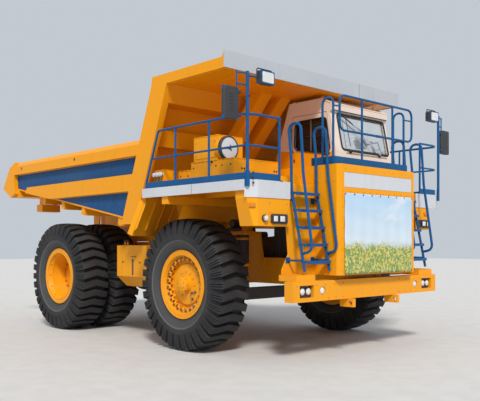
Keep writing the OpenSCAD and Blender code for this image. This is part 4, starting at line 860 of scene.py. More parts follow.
# Roof: the air conditioner's low box with louvres, four lifting eyes, the gutter, and the visor's lip
form = Form()
slab(form, (4.28, .55, 4.296), (4.9, 1.5, 4.345), .02, .05, "Z", 3)
for x in np.arange(4.36, 4.84, .045):
    slab(form, (x, .68, 4.343), (x + .02, 1.37, 4.351), .002, .004)
for x, y in ((4.25, .3), (4.93, .3), (4.25, 1.78), (4.93, 1.78)):
    turned(form, (x, y, 4.325), LEFT,
           [(.018, -.006), (.032, -.006), (.034, 0), (.032, .006), (.018, .006)], 20, ring=True)
gutter = [(4.2, .222, 4.303), (4.97, .222, 4.303), (5.2, .222, 4.195)]
bent(form, gutter + [(x, 2.08 - y, z) for x, y, z in gutter[::-1]], .02, .012)
piece("cab_roof", form, "cream_paint", "chassis")
form = Form()
slab(form, (5.195, .24, 4.07), (5.203, 1.84, 4.088), .002, .003)
for y in np.linspace(.3, 1.78, 7):
    tube(form, [(5.155, y, 4.062), (5.2, y, 4.08)], .008, 6)
piece("visor_edge", form, "dark_plastic", "chassis")


# Cab inside
def settled(made):
    """The mesh as its modifiers leave it now."""
    return bpy.data.meshes.new_from_object(made.evaluated_get(bpy.context.evaluated_depsgraph_get()))


def points_of(mesh):
    """A mesh's points as rows of x, y and z."""
    points = np.zeros(len(mesh.vertices) * 3, np.float32)
    mesh.vertices.foreach_get("co", points)
    return points.reshape(-1, 3).astype(float)


def swell(made, cap, channels, along, into):
    """A sewn cover filled with foam: the shape is meshed evenly and swells under air pressure in Blender's
    Cloth, no point moving further than cap; then stitched channels draw its outer side in."""
    even = made.modifiers.new("even", "REMESH")
    even.mode, even.voxel_size = "VOXEL", 0.006
    made.data = settled(made)
    made.modifiers.clear()
    start = points_of(made.data)
    air = made.modifiers.new("air", "CLOTH")
    air.settings.use_pressure = True
    air.settings.uniform_pressure_force = 4
    air.settings.effector_weights.gravity = 0
    last_frame = 20
    air.point_cache.frame_start, air.point_cache.frame_end = 1, last_frame
    for moment in range(1, last_frame + 1):
        bpy.context.scene.frame_set(moment)
    moved = points_of(settled(made)) - start
    made.modifiers.clear()
    bpy.context.scene.frame_set(1)
    length = np.maximum(np.linalg.norm(moved, axis=1), 1e-9)[:, None]
    points = start + moved * np.minimum(1, cap / length)
    outer = ((points - points.mean(0)) @ np.array(into) < 0)[:, None]
    for place in channels:
        points += outer * np.outer(np.exp(-((points[:, along] - place) / .011) ** 2), into)
    made.data.vertices.foreach_set("co", points.astype(np.float32).ravel())
    made.data.polygons.foreach_set("use_smooth", np.ones(len(made.data.polygons), bool))
    made.modifiers.new("soft", "SUBSURF").levels = 1


def signed_power(value, power):
    """The value's size to a power, with its sign kept: it squares a circle's sine and cosine off."""
    return np.sign(value) * np.abs(value) ** power


SEAT_Y, SWELLING = 1.04, .022
turn = np.linspace(0, 2 * pi, 64, endpoint=False)
# The cushion's cross-sections are rounded rectangles that swell towards the middle, with soft ends
low, high = np.array((4.215, SEAT_Y - .235, 3.312)), np.array((4.665, SEAT_Y + .235, 3.4))
form, rows = Form(), []
for k in np.linspace(-1, 1, 41):
    edge = max(1 - abs(k) ** 6, .002) ** (1 / 6)
    a = signed_power(np.cos(turn), 2 / 7) * edge ** .35
    b = signed_power(np.sin(turn), 2 / 7) * edge ** .5 * (1 + .28 * (1 - a * a) * (1 - k * k))
    rows.append(np.stack([a, np.full_like(turn, k), b], 1))
loft(form, (low + high) / 2 + np.array(rows) * (high - low) / 2)
made = piece("seat_cushion", form, "seat_cover", "chassis", "driver_seat")
swell(made, SWELLING, (SEAT_Y - .12, SEAT_Y + .12), 1, (0, 0, -.011))
# The back and the head rest are made as the cushion is, upright, and lean backwards as they rise
for name, z0, z1, w, d, channels in (("seat_back", 3.43, 3.85, .215, .05, (3.55, 3.7)),
                                     ("head_rest", 3.88, 3.99, .12, .035, ())):
    form, rows = Form(), []
    for k in np.linspace(-1, 1, 33):
        edge = max(1 - abs(k) ** 8, .0004) ** (1 / 8)
        a = signed_power(np.sin(turn), .3) * edge ** .4
        b = signed_power(np.cos(turn), .3) * edge ** .6 * (1 + .45 * (1 - a * a) * (1 - k * k))
        z = (z0 + z1) / 2 + k * (z1 - z0) / 2
        rows.append(np.stack([4.27 - (z - 3.42) * .09 + b * d, SEAT_Y + a * w, np.full_like(turn, z)], 1))
    loft(form, rows)
    made = piece(name, form, "seat_cover", "chassis")
    swell(made, SWELLING, channels, 2, (-.011, 0, 0))
form = Form()
bent(form, [(x, SEAT_Y + s * .238, 3.352) for x, s in ((4.21, -1), (4.67, -1), (4.67, 1), (4.21, 1))],
     .07, .006, n=8, ring=True)
piece("seat_piping", form, "dark_plastic", "chassis")

# The seat's stand with its folded boot, arm rests and head rest's bars, and the pedals
form = Form()
slab(form, (4.24, SEAT_Y - .19, 3.006), (4.64, SEAT_Y + .19, 3.03), .004, .02)
for k in range(6):
    z, w = 3.03 + k * .036, .14 if k % 2 else .165
    slab(form, (4.3 - w * .2, SEAT_Y - w, z), (4.56 + w * .2, SEAT_Y + w, z + .036), .014, .03, "Z", 3)
slab(form, (4.22, SEAT_Y - .22, 3.246), (4.64, SEAT_Y + .22, 3.305), .006, .03)
for s in SIDES:
    arm = (4.26, .26, 3.28), (4.24, .28, 3.58), (4.5, .28, 3.6)
    bent(form, [(x, SEAT_Y + s * out, z) for x, out, z in arm], .05, .018)
    tube(form, [(4.215, SEAT_Y + s * .05, 3.84), (4.21, SEAT_Y + s * .05, 3.9)], .007)
for y in (SEAT_Y - .47, SEAT_Y - .17):
    plate(form, "X", oblong(y, 3.115, .05, .085, .02), 4.98, 4.995, .004)
piece("seat_stand", form, "dark_plastic", "chassis")

# Dashboard: gauges' rings and faces, a plate with two rows of switches, and the lever on the column
form, dials = Form(), Form()
for y, r in ((.82, .05), (.95, .06), (1.12, .06), (1.26, .05)):
    turned(form, (5.05, y, 3.386), UP,
           [(r, -.002), (r * 1.05, .01), (r * .95, .016), (r * .88, .01)], 28, ring=True)
    turned(dials, (5.05, y, 3.384), UP, [(r * .9, 0), (r * .9, .006), (r * .1, .007)], 28)
slab(form, (5.02, .5, 3.384), (5.18, .74, 3.394), .003, .02)
for x in (5.04, 5.09):
    for y in (.52, .57, .62, .67):
        slab(form, (x, y, 3.392), (x + .035, y + .035, 3.402), .002, .004)
lever_end = (4.96, SEAT_Y + .3, 3.5)
tube(form, [(4.95, SEAT_Y + .08, 3.46), lever_end], .008)
turned(form, lever_end, (0, 1, .2), [(.008, 0), (.016, .01), (.016, .035), (.008, .045)], 14)
piece("dash_controls", form, "dark_plastic", "chassis")
piece("dash_dials", dials, "white_paint", "chassis")

# Decks: top of the plates, half their width, and the right lockers' outer side and inner end
DECK_Z, PLATFORM_Z, DECK_HALF, LOCKER_Y, LOCKER_IN = 2.65, 2.95, 2.5, -2.085, -1.075
form, dark, white = Form(), Form(), Form()
# Locker lids, then each locker's front panel with its two latches and hinges
for x0, x1, z in ((4.165, 4.85, 3.036), (4.868, 5.205, 3.036), (3.835, 4.168, 2.926)):
    slab(form, (x0, LOCKER_Y, z), (x1, LOCKER_IN, z + .016), .004, .01)
for x0, x1, z1 in ((4.19, 4.84, 3.015), (4.88, 5.18, 3.015), (3.86, 4.15, 2.905)):
    plate(form, "Y", rounded((x0, 2.68), (x1, z1), .02), LOCKER_Y - .002, LOCKER_Y + .006, .003)
    for x in (x0 + .05, x1 - .05):
        turned(dark, (x, LOCKER_Y - .002, z1 - .06), RIGHT, [(.015, 0), (.015, .003), (.01, .004)], 14)
    for x in np.arange(x0 + .06, x1 - .04, .1):
        slab(dark, (x, -2.089, z1 + .024), (x + .045, -2.084, z1 + .03), .001, .002)
plate(form, "X", rounded((-2.04, 2.69), (-1.12, 3.01), .02), 5.199, 5.208, .003)
for y in (-1.93, -1.875, -1.225, -1.17):
    turned(dark, (5.2075, y, 2.895), AHEAD, [(.017, 0), (.017, .003), (.011, .004)], 14)
turned(dark, (4.7, -2.088, 3.02), RIGHT, [(.016, 0), (.016, .02), (.01, .03)], 12)
slab(form, (4.235, LOCKER_Y, 3.426), (4.825, -1.545, 3.442), .004, .012)
plate(form, "Y", rounded((4.27, 3.09), (4.79, 3.39), .02), LOCKER_Y - .002, LOCKER_Y + .006, .003)
for x in (4.3, 4.76):
    for z in (3.14, 3.34):
        turned(dark, (x, LOCKER_Y - .002, z), RIGHT, [(.008, 0), (.008, .003), (.005, .004)], 12)
# The air cleaner's face: a dark band round a white cover, with a three-armed knob and small nuts
DRUM = np.array((4.95, -1.96, 3.225))
turned(dark, DRUM, AHEAD,
       [(.186, -.05), (.19, -.045), (.19, .012), (.184, .018), (.17, .018), (.168, .004)], 64, ring=True)
turned(white, DRUM, AHEAD, [(.172, -.002), (.172, .008), (.14, .014), (.06, .018)], 64)
for a in 2 * pi * np.arange(3) / 3 + .3:
    tube(dark, [DRUM + (.02, 0, 0), DRUM + (.022, .05 * sin(a), .05 * cos(a))], .009, 6)
turned(dark, DRUM, AHEAD, [(.022, .014), (.022, .028), (.014, .034)], 18)
for a in np.arange(0, 2 * pi, pi / 4):
    turned(white, DRUM + (.001, .152 * sin(a), .152 * cos(a)), AHEAD, [(.007, 0), (.007, .014), (.004, .017)], 8)
# Three canisters with their bands and pipes on the rear box
slab(form, (3.545, -2.355, 2.946), (3.805, -2.145, 2.956), .003, .01)
for x in (3.592, 3.675, 3.758):
    place = (x, -2.352, 2.875)
    turned(white, place, RIGHT,
           [(.037, -.01), (.037, .05), (.034, .058), (.012, .06), (.012, .068), (.006, .07)], 28)
    turned(dark, place, RIGHT, [(.039, .01), (.0405, .013), (.0405, .019), (.039, .022)], 28, ring=True)
    bent(dark, [(x, -2.34, 2.84), (x, -2.37, 2.8), (x, -2.37, 2.7), (x, -2.36, 2.66)], .03, .007, 6)
# Battery boxes' lids on the left deck, each with a handle
for a in 3.91 + np.arange(3) * .465:
    b, y, z = a + .445, 2.255, 2.83
    slab(form, (a, 2.126, z - .003), (b, 2.384, z + .012), .004, .01)
    handle = (a + .15, .01), (a + .15, .04), (b - .15, .04), (b - .15, .01)
    bent(dark, [(x, y, z + h) for x, h in handle], .015, .006, 6)
piece("locker_lids", form, "yellow_paint", "chassis")
piece("locker_fittings", dark, "dark_plastic", "chassis")
piece("cleaner_face", white, "white_paint", "chassis")

# White bands: screws along them and one seam a side
screws, seams = Form(), Form()
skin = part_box("white_panels")[1].y
band_front = APRON_FACE + skin - DECK_HALF
for s in SIDES:
    for x in np.arange(3.55, 5.8, .56):
        bolts(screws, [(x, s * skin, 2.525), (x, s * skin, 2.628)], (0, s, 0), .006)
    block(seams, (4.705, 4.711), (s * (skin - .002), s * (skin + .0015)), (2.502, 2.648), .0005, .001)
    for y in (1.76, 2.0, 2.24):
        bolts(screws, [(band_front, s * y, 2.425), (band_front, s * y, 2.625)], AHEAD, .006)
piece("band_screws", screws, "white_paint", "chassis")
piece("band_seams", seams, "dark_plastic", "chassis")

# Walkways: chequered plate on both decks and round the cab
form = Form()
walks = [[(back, s * 1.68), (5.9, s * 1.68), (5.9, s * 2.32), (5.86, s * 2.44), (back, s * 2.44)]
         for s, back in ((-1, 5.22), (1, 5.33))]
walks += [[(x0, y0), (x1, y0), (x1, y1), (x0, y1)]
          for x0, x1, y0, y1 in ((3.85, 5.2, -2.44, -2.1), (3.7, 5.33, 1.87, 2.11))]
for walk in walks:
    plate(form, "Z", walk, DECK_Z + .0005, DECK_Z + .0045, .001)
plate(form, "Z", [(5.36, -.93), (6.15, -.93), (6.15, .93), (5.36, .93)],
      PLATFORM_Z + .0005, PLATFORM_Z + .0045, .001)
piece("walkways", form, "tread_plate", "chassis")

# Mudguards behind the front wheels: ribs and a lip along their lower edge
GUARD_TURN, GUARD_LEAN, GUARD_H, GUARD_W = radians(70.35), radians(23.92), .678, 1.22
GUARD_CORNER = (3.408, 2.45, 2.5)


def on_guard(a, b, c):
    """A point of the left mudguard: a along it from its inner edge, b ahead of its face and c above its foot."""
    x = a - GUARD_W
    y = -b * cos(GUARD_LEAN) - (c - GUARD_H) * sin(GUARD_LEAN)
    z = -b * sin(GUARD_LEAN) + (c - GUARD_H) * cos(GUARD_LEAN)
    return (GUARD_CORNER[0] + x * cos(GUARD_TURN) - y * sin(GUARD_TURN),
            GUARD_CORNER[1] + x * sin(GUARD_TURN) + y * cos(GUARD_TURN), GUARD_CORNER[2] + z)


form = Form()
for a, deep, w in ((.3, .034, .009), (.6, .034, .009), (.9, .034, .009), (1.204, .05, .008)):
    loft(form, [[on_guard(a + u * w, b, c)
                 for u, b in ((-1, .011), (1, .011), (1, d - .003), (.6, d), (-.6, d), (-1, d - .003))]
                for c, d in ((.1, .018), (.16, deep), (.6, deep), (.655, .018))])
    weld(form, on_guard(a - w, .013, .12), on_guard(a - w, .013, .64), .004)
both("guard_ribs", form, "yellow_paint", "chassis")

# Railings: a foot with two bolts below each post, and the clamps of the front loops
form, bolt = Form(), Form()
for s in SIDES:
    for x, y, z in ((4.26, 2.47, DECK_Z), (5.07, 2.47, DECK_Z), (3.48, 2.47, DECK_Z), (5.92, 1.85, DECK_Z),
                    (6.18, .94, PLATFORM_Z), (5.97, .94, PLATFORM_Z)):
        slab(form, (x - .05, s * y - .032, z), (x + .05, s * y + .032, z + .008), .002, .01)
        weld(form, (x - .02, s * y - .02, z + .01), (x + .02, s * y - .02, z + .01), .005)
        bolts(bolt, [(x - .036, s * y, z + .008), (x + .036, s * y, z + .008)], UP, .008)
    turned(form, (5.92, s * 1.85, 3.57), UP, [(.021, -.03), (.023, -.02), (.023, .002), (.012, .014)], 16)
for y in (-.25, .58):
    slab(form, (6.15, y - .032, PLATFORM_Z), (6.2095, y + .032, PLATFORM_Z + .008), .002, .01)
    bolts(bolt, [(6.166, y, PLATFORM_Z + .008)], UP, .008)
piece("railing_feet", form, "blue_paint", "chassis")
piece("railing_bolts", bolt, "worn_steel", "chassis")

# Mirrors and floodlights: rounded housings with louvres and cooling ribs behind, and glass in front
form, glass_face, flood = Form(), Form(), Form()
for s in SIDES:
    y, z = s * 2.773, 3.68
    plate(form, "X", oblong(y, z, .14, .228, .07, 8), 5.842, 5.902, .016, 3)
    plate(glass_face, "X", oblong(y, z, .122, .208, .055, 8), 5.8385, 5.844, .002)
    for k in range(6):
        plate(form, "X", oblong(y, 3.578 + k * .045, .045, .008, .006), 5.9, 5.9075, .003)
    y, z = s * 2.188, 4.09
    plate(form, "X", oblong(y, z, .134, .094, .03, 6), 5.923, 6.02, .01, 3)
    for k in range(7):
        rib = y - .115 + .035 * k
        plate(form, "X", [(rib, 4.01), (rib + .008, 4.01), (rib + .008, 4.17), (rib, 4.17)], 5.9, 5.925, .001)
    plate(glass_face, "X", oblong(y, z, .116, .078, .022, 6), 6.018, 6.024, .002)
    plate(flood, "X", oblong(y, z, .112, .074, .02, 6), 6.0235, 6.03, .003)
    bent(form, [(5.95, y + a, z + h) for a, h in ((-.15, 0), (-.15, .125), (.15, .125), (.15, 0))], .03, .009)
    for z in (3.52, 3.84):
        slab(form, (5.86, s * 2.62 - .03, z - .02), (5.9, s * 2.62 + .03, z + .02), .004, .006)
    bolts(form, [(5.9585, s * 2.415, z) for z in (2.6, 2.68, 2.74)], (.914, s * .406, 0), .01)
piece("mirror_housings", form, "dark_plastic", "chassis")
piece("mirror_faces", glass_face, "reflector", "chassis")
piece("flood_lenses", flood, "lamp_lens", "chassis")

# Fuel tank: its section as (distance from the middle, height), straps, end beads, caps and gauge
TANK = np.array([(.79, .93), (1.58, .93), (1.8, 1.13), (1.8, 1.71), (.79, 1.71)])


def strap(form, x, outline):
    """A flat band round a tank's section: one plate for each of its sides but the last, the inner one."""
    half, thick = .03, .007
    for a, b in zip(outline[:-1], outline[1:]):
        along = (b - a) / np.linalg.norm(b - a)
        out = np.array((along[1], -along[0]))
        section = ((-1, -.001), (1, -.001), (1, thick - .002), (.8, thick), (-.8, thick), (-1, thick - .002))
        loft(form, [[(x + k * half, -(q[0] + out[0] * h), q[1] + out[1] * h) for k, h in section]
                    for q in (a, b + along * thick * .6)])


straps, fitting, dark = Form(), Form(), Form()
for x in (1.78, 2.33):
    strap(straps, x, TANK)
    bolts(fitting, [(x + k * .015, -1.807, 1.4) for k in SIDES], RIGHT, .009)
for x in (1.572, 2.528):
    bent(straps, [(x, -y, z) for y, z in inset(TANK, .018)], .03, .008, 6, n=4, ring=True)
for x in (1.7, 1.79):
    turned(dark, (x, -1.7, 1.71), UP, [(.021, .06), (.031, .062), (.031, .094), (.027, .1), (.01, .101)], 20)
    for a in 2 * pi * np.arange(10) / 10:
        tube(dark, [(x + .031 * cos(a), -1.7 + .031 * sin(a), z) for z in (1.776, 1.8)], .003, 5)
bent(dark, [(2.1, -1.802, 1.5), (2.1, -1.85, 1.5), (2.2, -1.85, 1.5), (2.2, -1.802, 1.5)], .02, .008)
plate(fitting, "Y", rounded((2.08, 1.16), (2.12, 1.46), .015), -1.812, -1.8, .003)
plate(dark, "Y", rounded((2.09, 1.18), (2.11, 1.44), .008), -1.8145, -1.811, .001)
for z in (1.17, 1.45):
    turned(fitting, (2.1, -1.812, z), RIGHT, [(.011, 0), (.011, .008), (.008, .01)], 6)
slab(straps, (1.9, -1.3, 1.709), (2.2, -1.0, 1.722), .004, .14, "Z", 1)
bolts(fitting, circle((2.05, -1.15, 1.722), "Z", .12, np.arange(0, 2 * pi, pi / 4)), UP, .007)
turned(fitting, (1.66, -1.2, .93), (0, 0, -1), [(.022, 0), (.022, .014), (.014, .02)], 6)
turned(dark, (2.07, 1.35, 1.7), UP, [(.031, .05), (.04, .052), (.04, .078), (.035, .084), (.01, .085)], 22)
piece("tank_straps", straps, "yellow_paint", "chassis")
piece("tank_fittings", fitting, "worn_steel", "chassis")
piece("tank_caps", dark, "dark_plastic", "chassis")

# Hoists: the left one's glands, with bolts round the upper one, and its clamped pipe
HOIST_FOOT, HOIST_TOP = np.array((1.55, .62, .62)), np.array((1.75, .62, 2.05))
HOIST_LENGTH = np.linalg.norm(HOIST_TOP - HOIST_FOOT)
LIFT = (HOIST_TOP - HOIST_FOOT) / HOIST_LENGTH
side = np.cross(LIFT, LEFT)
gland, hose = Form(), Form()
turned(gland, HOIST_FOOT, LIFT, [(r, HOIST_LENGTH - d) for r, d in
                                 ((.119, .2), (.131, .195), (.131, .156), (.127, .151), (.1, .151), (.1, .2))],
       48, ring=True)
turned(gland, HOIST_FOOT, LIFT, [(.119, .085), (.126, .09), (.126, .13), (.119, .135)], 48, ring=True)
for a in 2 * pi * np.arange(10) / 10:
    out = side * cos(a) + np.array(LEFT) * sin(a)
    bolts(gland, [HOIST_FOOT + LIFT * (HOIST_LENGTH - .176) + out * .131], out, .006)


def on_barrel(up, out, across=0):
    """A place on the hoist's barrel: up along it, out from its skin's front, and across to the left."""
    return HOIST_FOOT + LIFT * up + side * (.118 + out) + np.array(LEFT) * across


turned(gland, on_barrel(.2, 0), side, [(.026, 0), (.026, .02), (.019, .022), (.019, .034)], 16)
bent(hose, [on_barrel(up, out) for up, out in ((.2, .03), (.2, .05), (1.1, .05), (1.1, .002))], .035, .012, 10)
for up in (.45, .8):
    bent(gland, [on_barrel(up, out, across)
                 for out, across in ((-.01, -.024), (.065, -.024), (.065, .024), (-.01, .024))], .02, .005, 6)
both("hoist_gland", gland, "yellow_paint", "hoist_barrel_SIDE")
both("hoist_pipe", hose, "black_iron", "hoist_barrel_SIDE")

# Struts and axles: collars, pleated boots, filling valves; then covers, bolts and brake pipes
dark, yellow, steel, pipe = Form(), Form(), Form(), Form()
for x, y, r, rod, z0, z1 in ((FRONT_X, .78, .115, .08, 1.35, 1.9), (-.4, .61, .095, .065, 1.42, 1.84)):
    pleats = [(rod * (1.24 if k % 2 else 1.02), z0 - .16 + k * .014) for k in range(12)]
    for s in SIDES:
        foot = (x, s * y, 0)
        turned(yellow, foot, UP,
               [(r, z0 - .004), (r * 1.1, z0), (r * 1.1, z0 + .045), (r, z0 + .055)], 40, ring=True)
        turned(yellow, foot, UP,
               [(r, z1 - .09), (r * 1.06, z1 - .085), (r * 1.06, z1 - .055), (r, z1 - .05)], 40, ring=True)
        turned(dark, foot, UP, pleats, 32)
        turned(steel, (x, s * (y + r * .98), z0 + .3 * (z1 - z0)), (0, s, 0),
               [(.016, 0), (.016, .012), (.01, .014), (.01, .03), (.006, .034)], 12)
        bolts(yellow, circle((x, s * y, z0 + .022), "Z", r * 1.1, np.arange(.2, 2 * pi, pi / 4)), UP, .001)
MIDDLE = (0, 0, AXLE_Z)
for s in SIDES:
    out = (0, s, 0)
    turned(dark, MIDDLE, out, [(.262, .375), (.275, .38), (.275, .405), (.262, .41)], 48, ring=True)
    bolts(steel, circle((0, s * .406, AXLE_Z), "Y", .277, np.arange(0, 2 * pi, pi / 9)), out, .0085)
    turned(dark, MIDDLE, out, [(.259, .845), (.27, .85), (.27, .872), (.259, .876)], 48, ring=True)
    bent(pipe, [(.26, s * .3, 1.16), (.27, s * .42, 1.2), (.12, s * .46, 1.325), (.12, s * .8, 1.325),
                (.1, s * .86, 1.31)], .05, .009)
    for y in (.5, .72):
        clamp = (-.02, 0), (-.02, .04), (.02, .04), (.02, 0)
        bent(pipe, [(.12 + q, s * y, 1.3 + h) for q, h in clamp], .01, .004, 6)
turned(dark, (.365, 0, AXLE_Z), AHEAD, [(.19, -.06), (.19, 0), (.18, .008), (.1, .012), (.1, .03)], 40)
bolts(steel, circle((.372, 0, AXLE_Z), "X", .16, np.arange(.1, 2 * pi, pi / 6)), AHEAD, .009)
turned(dark, (-.3645, 0, AXLE_Z), BACK, [(.2, -.07), (.2, .004), (.18, .014), (.06, .03), (.02, .031)], 40)
bolts(steel, circle((-.3685, 0, AXLE_Z), "X", .175, np.arange(.1, 2 * pi, pi / 6)), BACK, .009)
turned(steel, (-.05, .12, 1.432), UP, [(.018, 0), (.018, .02), (.012, .022), (.012, .034), (.007, .04)], 12)
piece("strut_collars", yellow, "yellow_paint", "chassis")
piece("axle_covers", dark, "black_iron", "chassis")
piece("axle_bolts", steel, "worn_steel", "chassis")
piece("axle_pipes", pipe, "dark_plastic", "chassis")

# Frame: three pipes along each rail, which step up ahead of the hoists, and their clips
pipe, clip, steel = Form(), Form(), Form()
for s in SIDES:
    y = s * .476
    for z, r in ((1.34, .009), (1.375, .011), (1.41, .009)):
        bent(pipe, [(x, s * .482, z + h) for x, h in
                    ((-1.3, 0), (1.1, 0), (1.25, .1), (3.3, .1), (3.42, -.02), (3.6, -.02))], .05, r)
    for x in (-1.1, -.7, .35, .75, 2.6, 2.95, 3.2):
        z = 1.375 + (.1 if x > 1.2 else 0)
        block(clip, (x - .02, x + .02), (y - s * .008, y + s * .02), (z - .056, z + .056), .003, .006, "Y")
        bolts(steel, [(x, y + s * .02, z)], (0, s, 0), .006)
piece("frame_pipes", pipe, "dark_plastic", "chassis")
piece("pipe_clips", clip, "yellow_paint", "chassis")
piece("clip_bolts", steel, "worn_steel", "chassis")

# Engine: side ribs and manifolds, belt pulleys, the drive shaft's joints, and the fan in its ring
dark, steel = Form(), Form()
for s in SIDES:
    for x in np.arange(4.45, 5.3, .12):
        block(dark, (x, x + .05), (s * .318, s * .336), (1.55, 2.3), .005, .01, "Y")
    tube(dark, [(4.4, s * .37, 2.2), (5.28, s * .37, 2.2)], .045, 16)
    for x in np.arange(4.5, 5.25, .16):
        bent(dark, [(x, s * .31, 2.26), (x, s * .355, 2.26), (x, s * .37, 2.2)], .02, .03, 12)
for r, z in ((.1, 1.75), (.13, 2.1)):
    turned(steel, (5.35, 0, z), AHEAD, [(r, 0), (r, .01), (r - .015, .018), (r - .015, .03), (r, .04), (r, .05),
                                        (.03, .052)], 40)
SHAFT = np.array((2.45, 0, .27)) / np.linalg.norm((2.45, 0, .27))
for t in (.46, 2.3):
    c = np.array(MIDDLE) + SHAFT * t
    for d in (-.05, .015):
        turned(dark, c, SHAFT, [(.078, d), (.1, d + .005), (.1, d + .03), (.078, d + .035)], 32, ring=True)
    bolts(steel, circle(c + SHAFT * .02, "X", .09, np.arange(0, 2 * pi, pi / 4)), -SHAFT, .007)
turned(dark, (5.385, 0, 2.0), AHEAD,
       [(.52, -.02), (.535, -.015), (.535, .055), (.52, .06), (.505, .055), (.505, -.015)], 64, ring=True)
turned(dark, (5.405, 0, 2.0), AHEAD, [(.05, 0), (.11, .004), (.11, .03), (.05, .036)], 32)
FAN, half_blade = np.array((5.42, 0, 2.0)), np.array((.004, 0, 0))
for a in 2 * pi * np.arange(8) / 8:
    out, along, rows = np.array((0, cos(a), sin(a))), np.array((0, -sin(a), cos(a))), []
    for r in np.linspace(.1, .49, 6):
        c, chord = FAN + out * r, along * (.05 + .07 * r) + (.016 + .008 * cos(r * 6), 0, 0)
        rows.append([c - chord, c + half_blade, c + chord, c - half_blade])
    loft(steel, rows)

# Hoses between the radiator, the air cleaner and the engine: a bent tube with a shallow square ridge
form = Form()
for path, r in ([((5.5, -.7, 2.36), (5.2, -.7, 2.36), (4.98, -.6, 2.28), (4.98, -.3, 2.2)), .045],
                [((5.5, .7, 1.62), (5.15, .7, 1.62), (5.0, .6, 1.72), (5.0, .3, 1.8)), .045],
                [((5.5, -.62, 1.6), (5.15, -.62, 1.6), (5.0, -.55, 1.7), (5.0, -.3, 1.78)), .04],
                [((4.62, -1.2, 2.63), (4.62, -1.2, 2.44), (4.62, -.9, 2.36), (4.62, -.3, 2.3)), .08],
                [((4.85, -1.2, 2.63), (4.85, -1.2, 2.46), (4.85, -.9, 2.4), (4.85, -.3, 2.34)), .05],
                [((5.2, 1.2, 2.63), (5.2, 1.2, 2.46), (5.2, .9, 2.38), (5.2, .3, 2.3)), .07]):
    curve = np.array(rounded_path(path, .14, 9))
    reach = np.concatenate([[0], np.cumsum(np.linalg.norm(np.diff(curve, axis=0), axis=1))])
    t = np.linspace(0, reach[-1], int(reach[-1] / .012))
    fine = np.stack([np.interp(t, reach, curve[:, k]) for k in range(3)], 1)
    tube(form, fine, r * (1 + .05 * np.sign(np.sin(t * 2 * pi / .048))), 16)
piece("engine_hoses", form, "tyre_rubber", "chassis")

# Gearbox: two covers, ribs across them, the bell behind the engine, and a filter on top
for x0, x1, w, z1 in ((2.62, 3.62, .26, 1.96), (2.9, 3.35, .2, 2.06)):
    plate(dark, "X", rounded((-w, 1.68), (w, z1), .05), x0, x1, .03, 3)
for x in np.arange(2.7, 3.6, .11):
    plate(dark, "X", rounded((-.272, 1.69), (.272, 1.972), .055), x, x + .018, .004)
turned(dark, (3.6, 0, 1.56), AHEAD,
       [(.27, 0), (.31, .01), (.31, .05), (.29, .06), (.33, .5), (.35, .68), (.37, .69), (.37, .735), (.3, .74)], 48)
bolts(steel, circle((4.285, 0, 1.56), "X", .355, np.arange(.1, 2 * pi, pi / 9)), BACK, .009)
turned(dark, (3.12, -.24, 2.13), LEFT,
       [(.02, 0), (.075, .004), (.08, .02), (.08, .46), (.075, .476), (.02, .48)], 28)
piece("engine_trim", dark, "black_iron", "chassis")
piece("engine_pulleys", steel, "worn_steel", "chassis")

# Bed: where its inner edges run, and the outer faces of its side panels and top rails
SLOPE, EDGE_Y, PANEL_Y, RAIL_Y = tan(radians(10)), 2.125, 2.164, 2.2505


def floor_z(x):
    """Height of the top of the bed's floor, which falls towards the front wall."""
    return 2.21 + (2.45 - x) * SLOPE


def wall_x(z):
    """Place of the bed's front wall; it leans forward."""
    return 2.45 + (z - 2.18) * .4101


def side_weld(s, y, start, end, r):
    """A bead along the bed's side s, between two places given as x and z."""
    weld(beads, (start[0], s * y, start[1]), (end[0], s * y, end[1]), r)


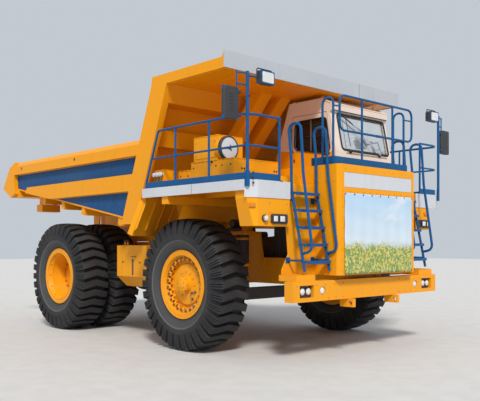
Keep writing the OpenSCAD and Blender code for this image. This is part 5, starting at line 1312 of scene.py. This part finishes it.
steel, beads, dark = Form(), Form(), Form()
for y0, y1 in ((-2.1, -1.42), (-1.38, -.72), (-.68, -.02), (.02, .68), (.72, 1.38), (1.42, 2.1)):
    for x0, x1 in ((-2.2, -1.15), (-1.13, .02), (.04, 1.19), (1.21, 2.36)):
        loft(steel, [[(x0 + d, y0 + d, floor_z(x0) + h), (x1 - d, y0 + d, floor_z(x1) + h),
                      (x1 - d, y1 - d, floor_z(x1) + h), (x0 + d, y1 - d, floor_z(x0) + h)]
                     for d, h in ((0, .001), (0, .009), (.004, .012))])
piece("floor_wear_plates", steel, "scoured_steel", "bed")
for s in SIDES:
    side_weld(s, EDGE_Y, (-2.2, floor_z(-2.2) + .006), (2.4, floor_z(2.4) + .006), .009)
    side_weld(s, EDGE_Y, (wall_x(2.25), 2.25), (wall_x(4.35) - .004, 4.35), .009)
    for start, end in (((-1.38, 2.85), (-.3, 2.667)), ((-.3, 2.667), (2.66, 2.667)),
                       ((-1.28, 2.969), (2.78, 2.969)), ((-1.88, 3.277), (2.86, 3.277))):
        side_weld(s, PANEL_Y, start, end, .007)
    for x in (-1.55, .75):
        # Each hole in the top rail is a flat near-black disc inside a bead: painted shade in place of an opening
        hole = (x, s * RAIL_Y, 3.4)
        turned(dark, hole, (0, s, 0), [(.03, 0), (.03, .002), (.025, .003)], 20)
        turned(beads, hole, (0, s, 0), [(.03, 0), (.036, 0), (.036, .005), (.03, .006)], 24, ring=True)
    for x in (-1.9, -.3, 1.3):
        side_weld(s, RAIL_Y + .001, (x, 3.29), (x, 3.52), .005)
weld(beads, (wall_x(2.2), -2.05, floor_z(2.43) + .01), (wall_x(2.2), 2.05, floor_z(2.43) + .01), .009)
piece("bed_beads", beads, "yellow_paint", "bed")
piece("rail_hole_shade_discs", dark, "dark_grille", "bed")

# Canopy: screws and one seam on its front board, and beads along its ribs and edges
form, seams = Form(), Form()
slab(seams, (5.1835, 1.017, 4.394), (5.1865, 1.023, 4.646), .0005, .001)
for y in np.linspace(-2.2, 2.2, 12):
    bolts(form, [(5.185, y, z) for z in (4.412, 4.628)], AHEAD, .0055)
piece("fascia_screws", form, "white_paint", "bed")
piece("fascia_seam", seams, "dark_plastic", "bed")
form = Form()
for s in SIDES:
    weld(form, (3.42, s * 2.2, 4.386), (5.1, s * 2.2, 4.386), .008)
    for y in (.5, 1.1, 1.7):
        weld(form, (3.42, s * y, 4.387), (5.12, s * y, 4.387), .006)
piece("canopy_beads", form, "yellow_paint", "bed")

# Pale floor, soft key light from ahead of the truck's right side, and an even sky
STAGE_HALF = 60
floor_finish = Finish("floor")
cloud = floor_finish.noise(3.0, 3.0).smooth(0.3, 0.7)
floor_finish.set(BaseColor=floor_finish.mix(cloud, (0.60, 0.59, 0.575), (0.64, 0.63, 0.615)), Roughness=0.85)
finishes["floor"] = floor_finish
corners = np.array([(*corner, 0) for corner in SQUARE]) * STAGE_HALF
shaped("floor", corners, [(0, 1, 2, 3)], "floor")

world = bpy.data.worlds.new("studio")
bpy.context.scene.world = world
world.use_nodes = True
sky = world.node_tree.nodes["Background"]
sky.inputs["Color"].default_value = (0.80, 0.86, 0.94, 1)
sky.inputs["Strength"].default_value = 0.68

sun_data = bpy.data.lights.new("key", "SUN")
sun_data.energy, sun_data.angle, sun_data.color = 2.9, radians(10), (1.0, 0.96, 0.90)
sun = bpy.data.objects.new("key", sun_data)
sun.rotation_euler = radians(48), 0, radians(52)
bpy.context.scene.collection.objects.link(sun)
bpy.context.scene.view_settings.view_transform = "Standard"
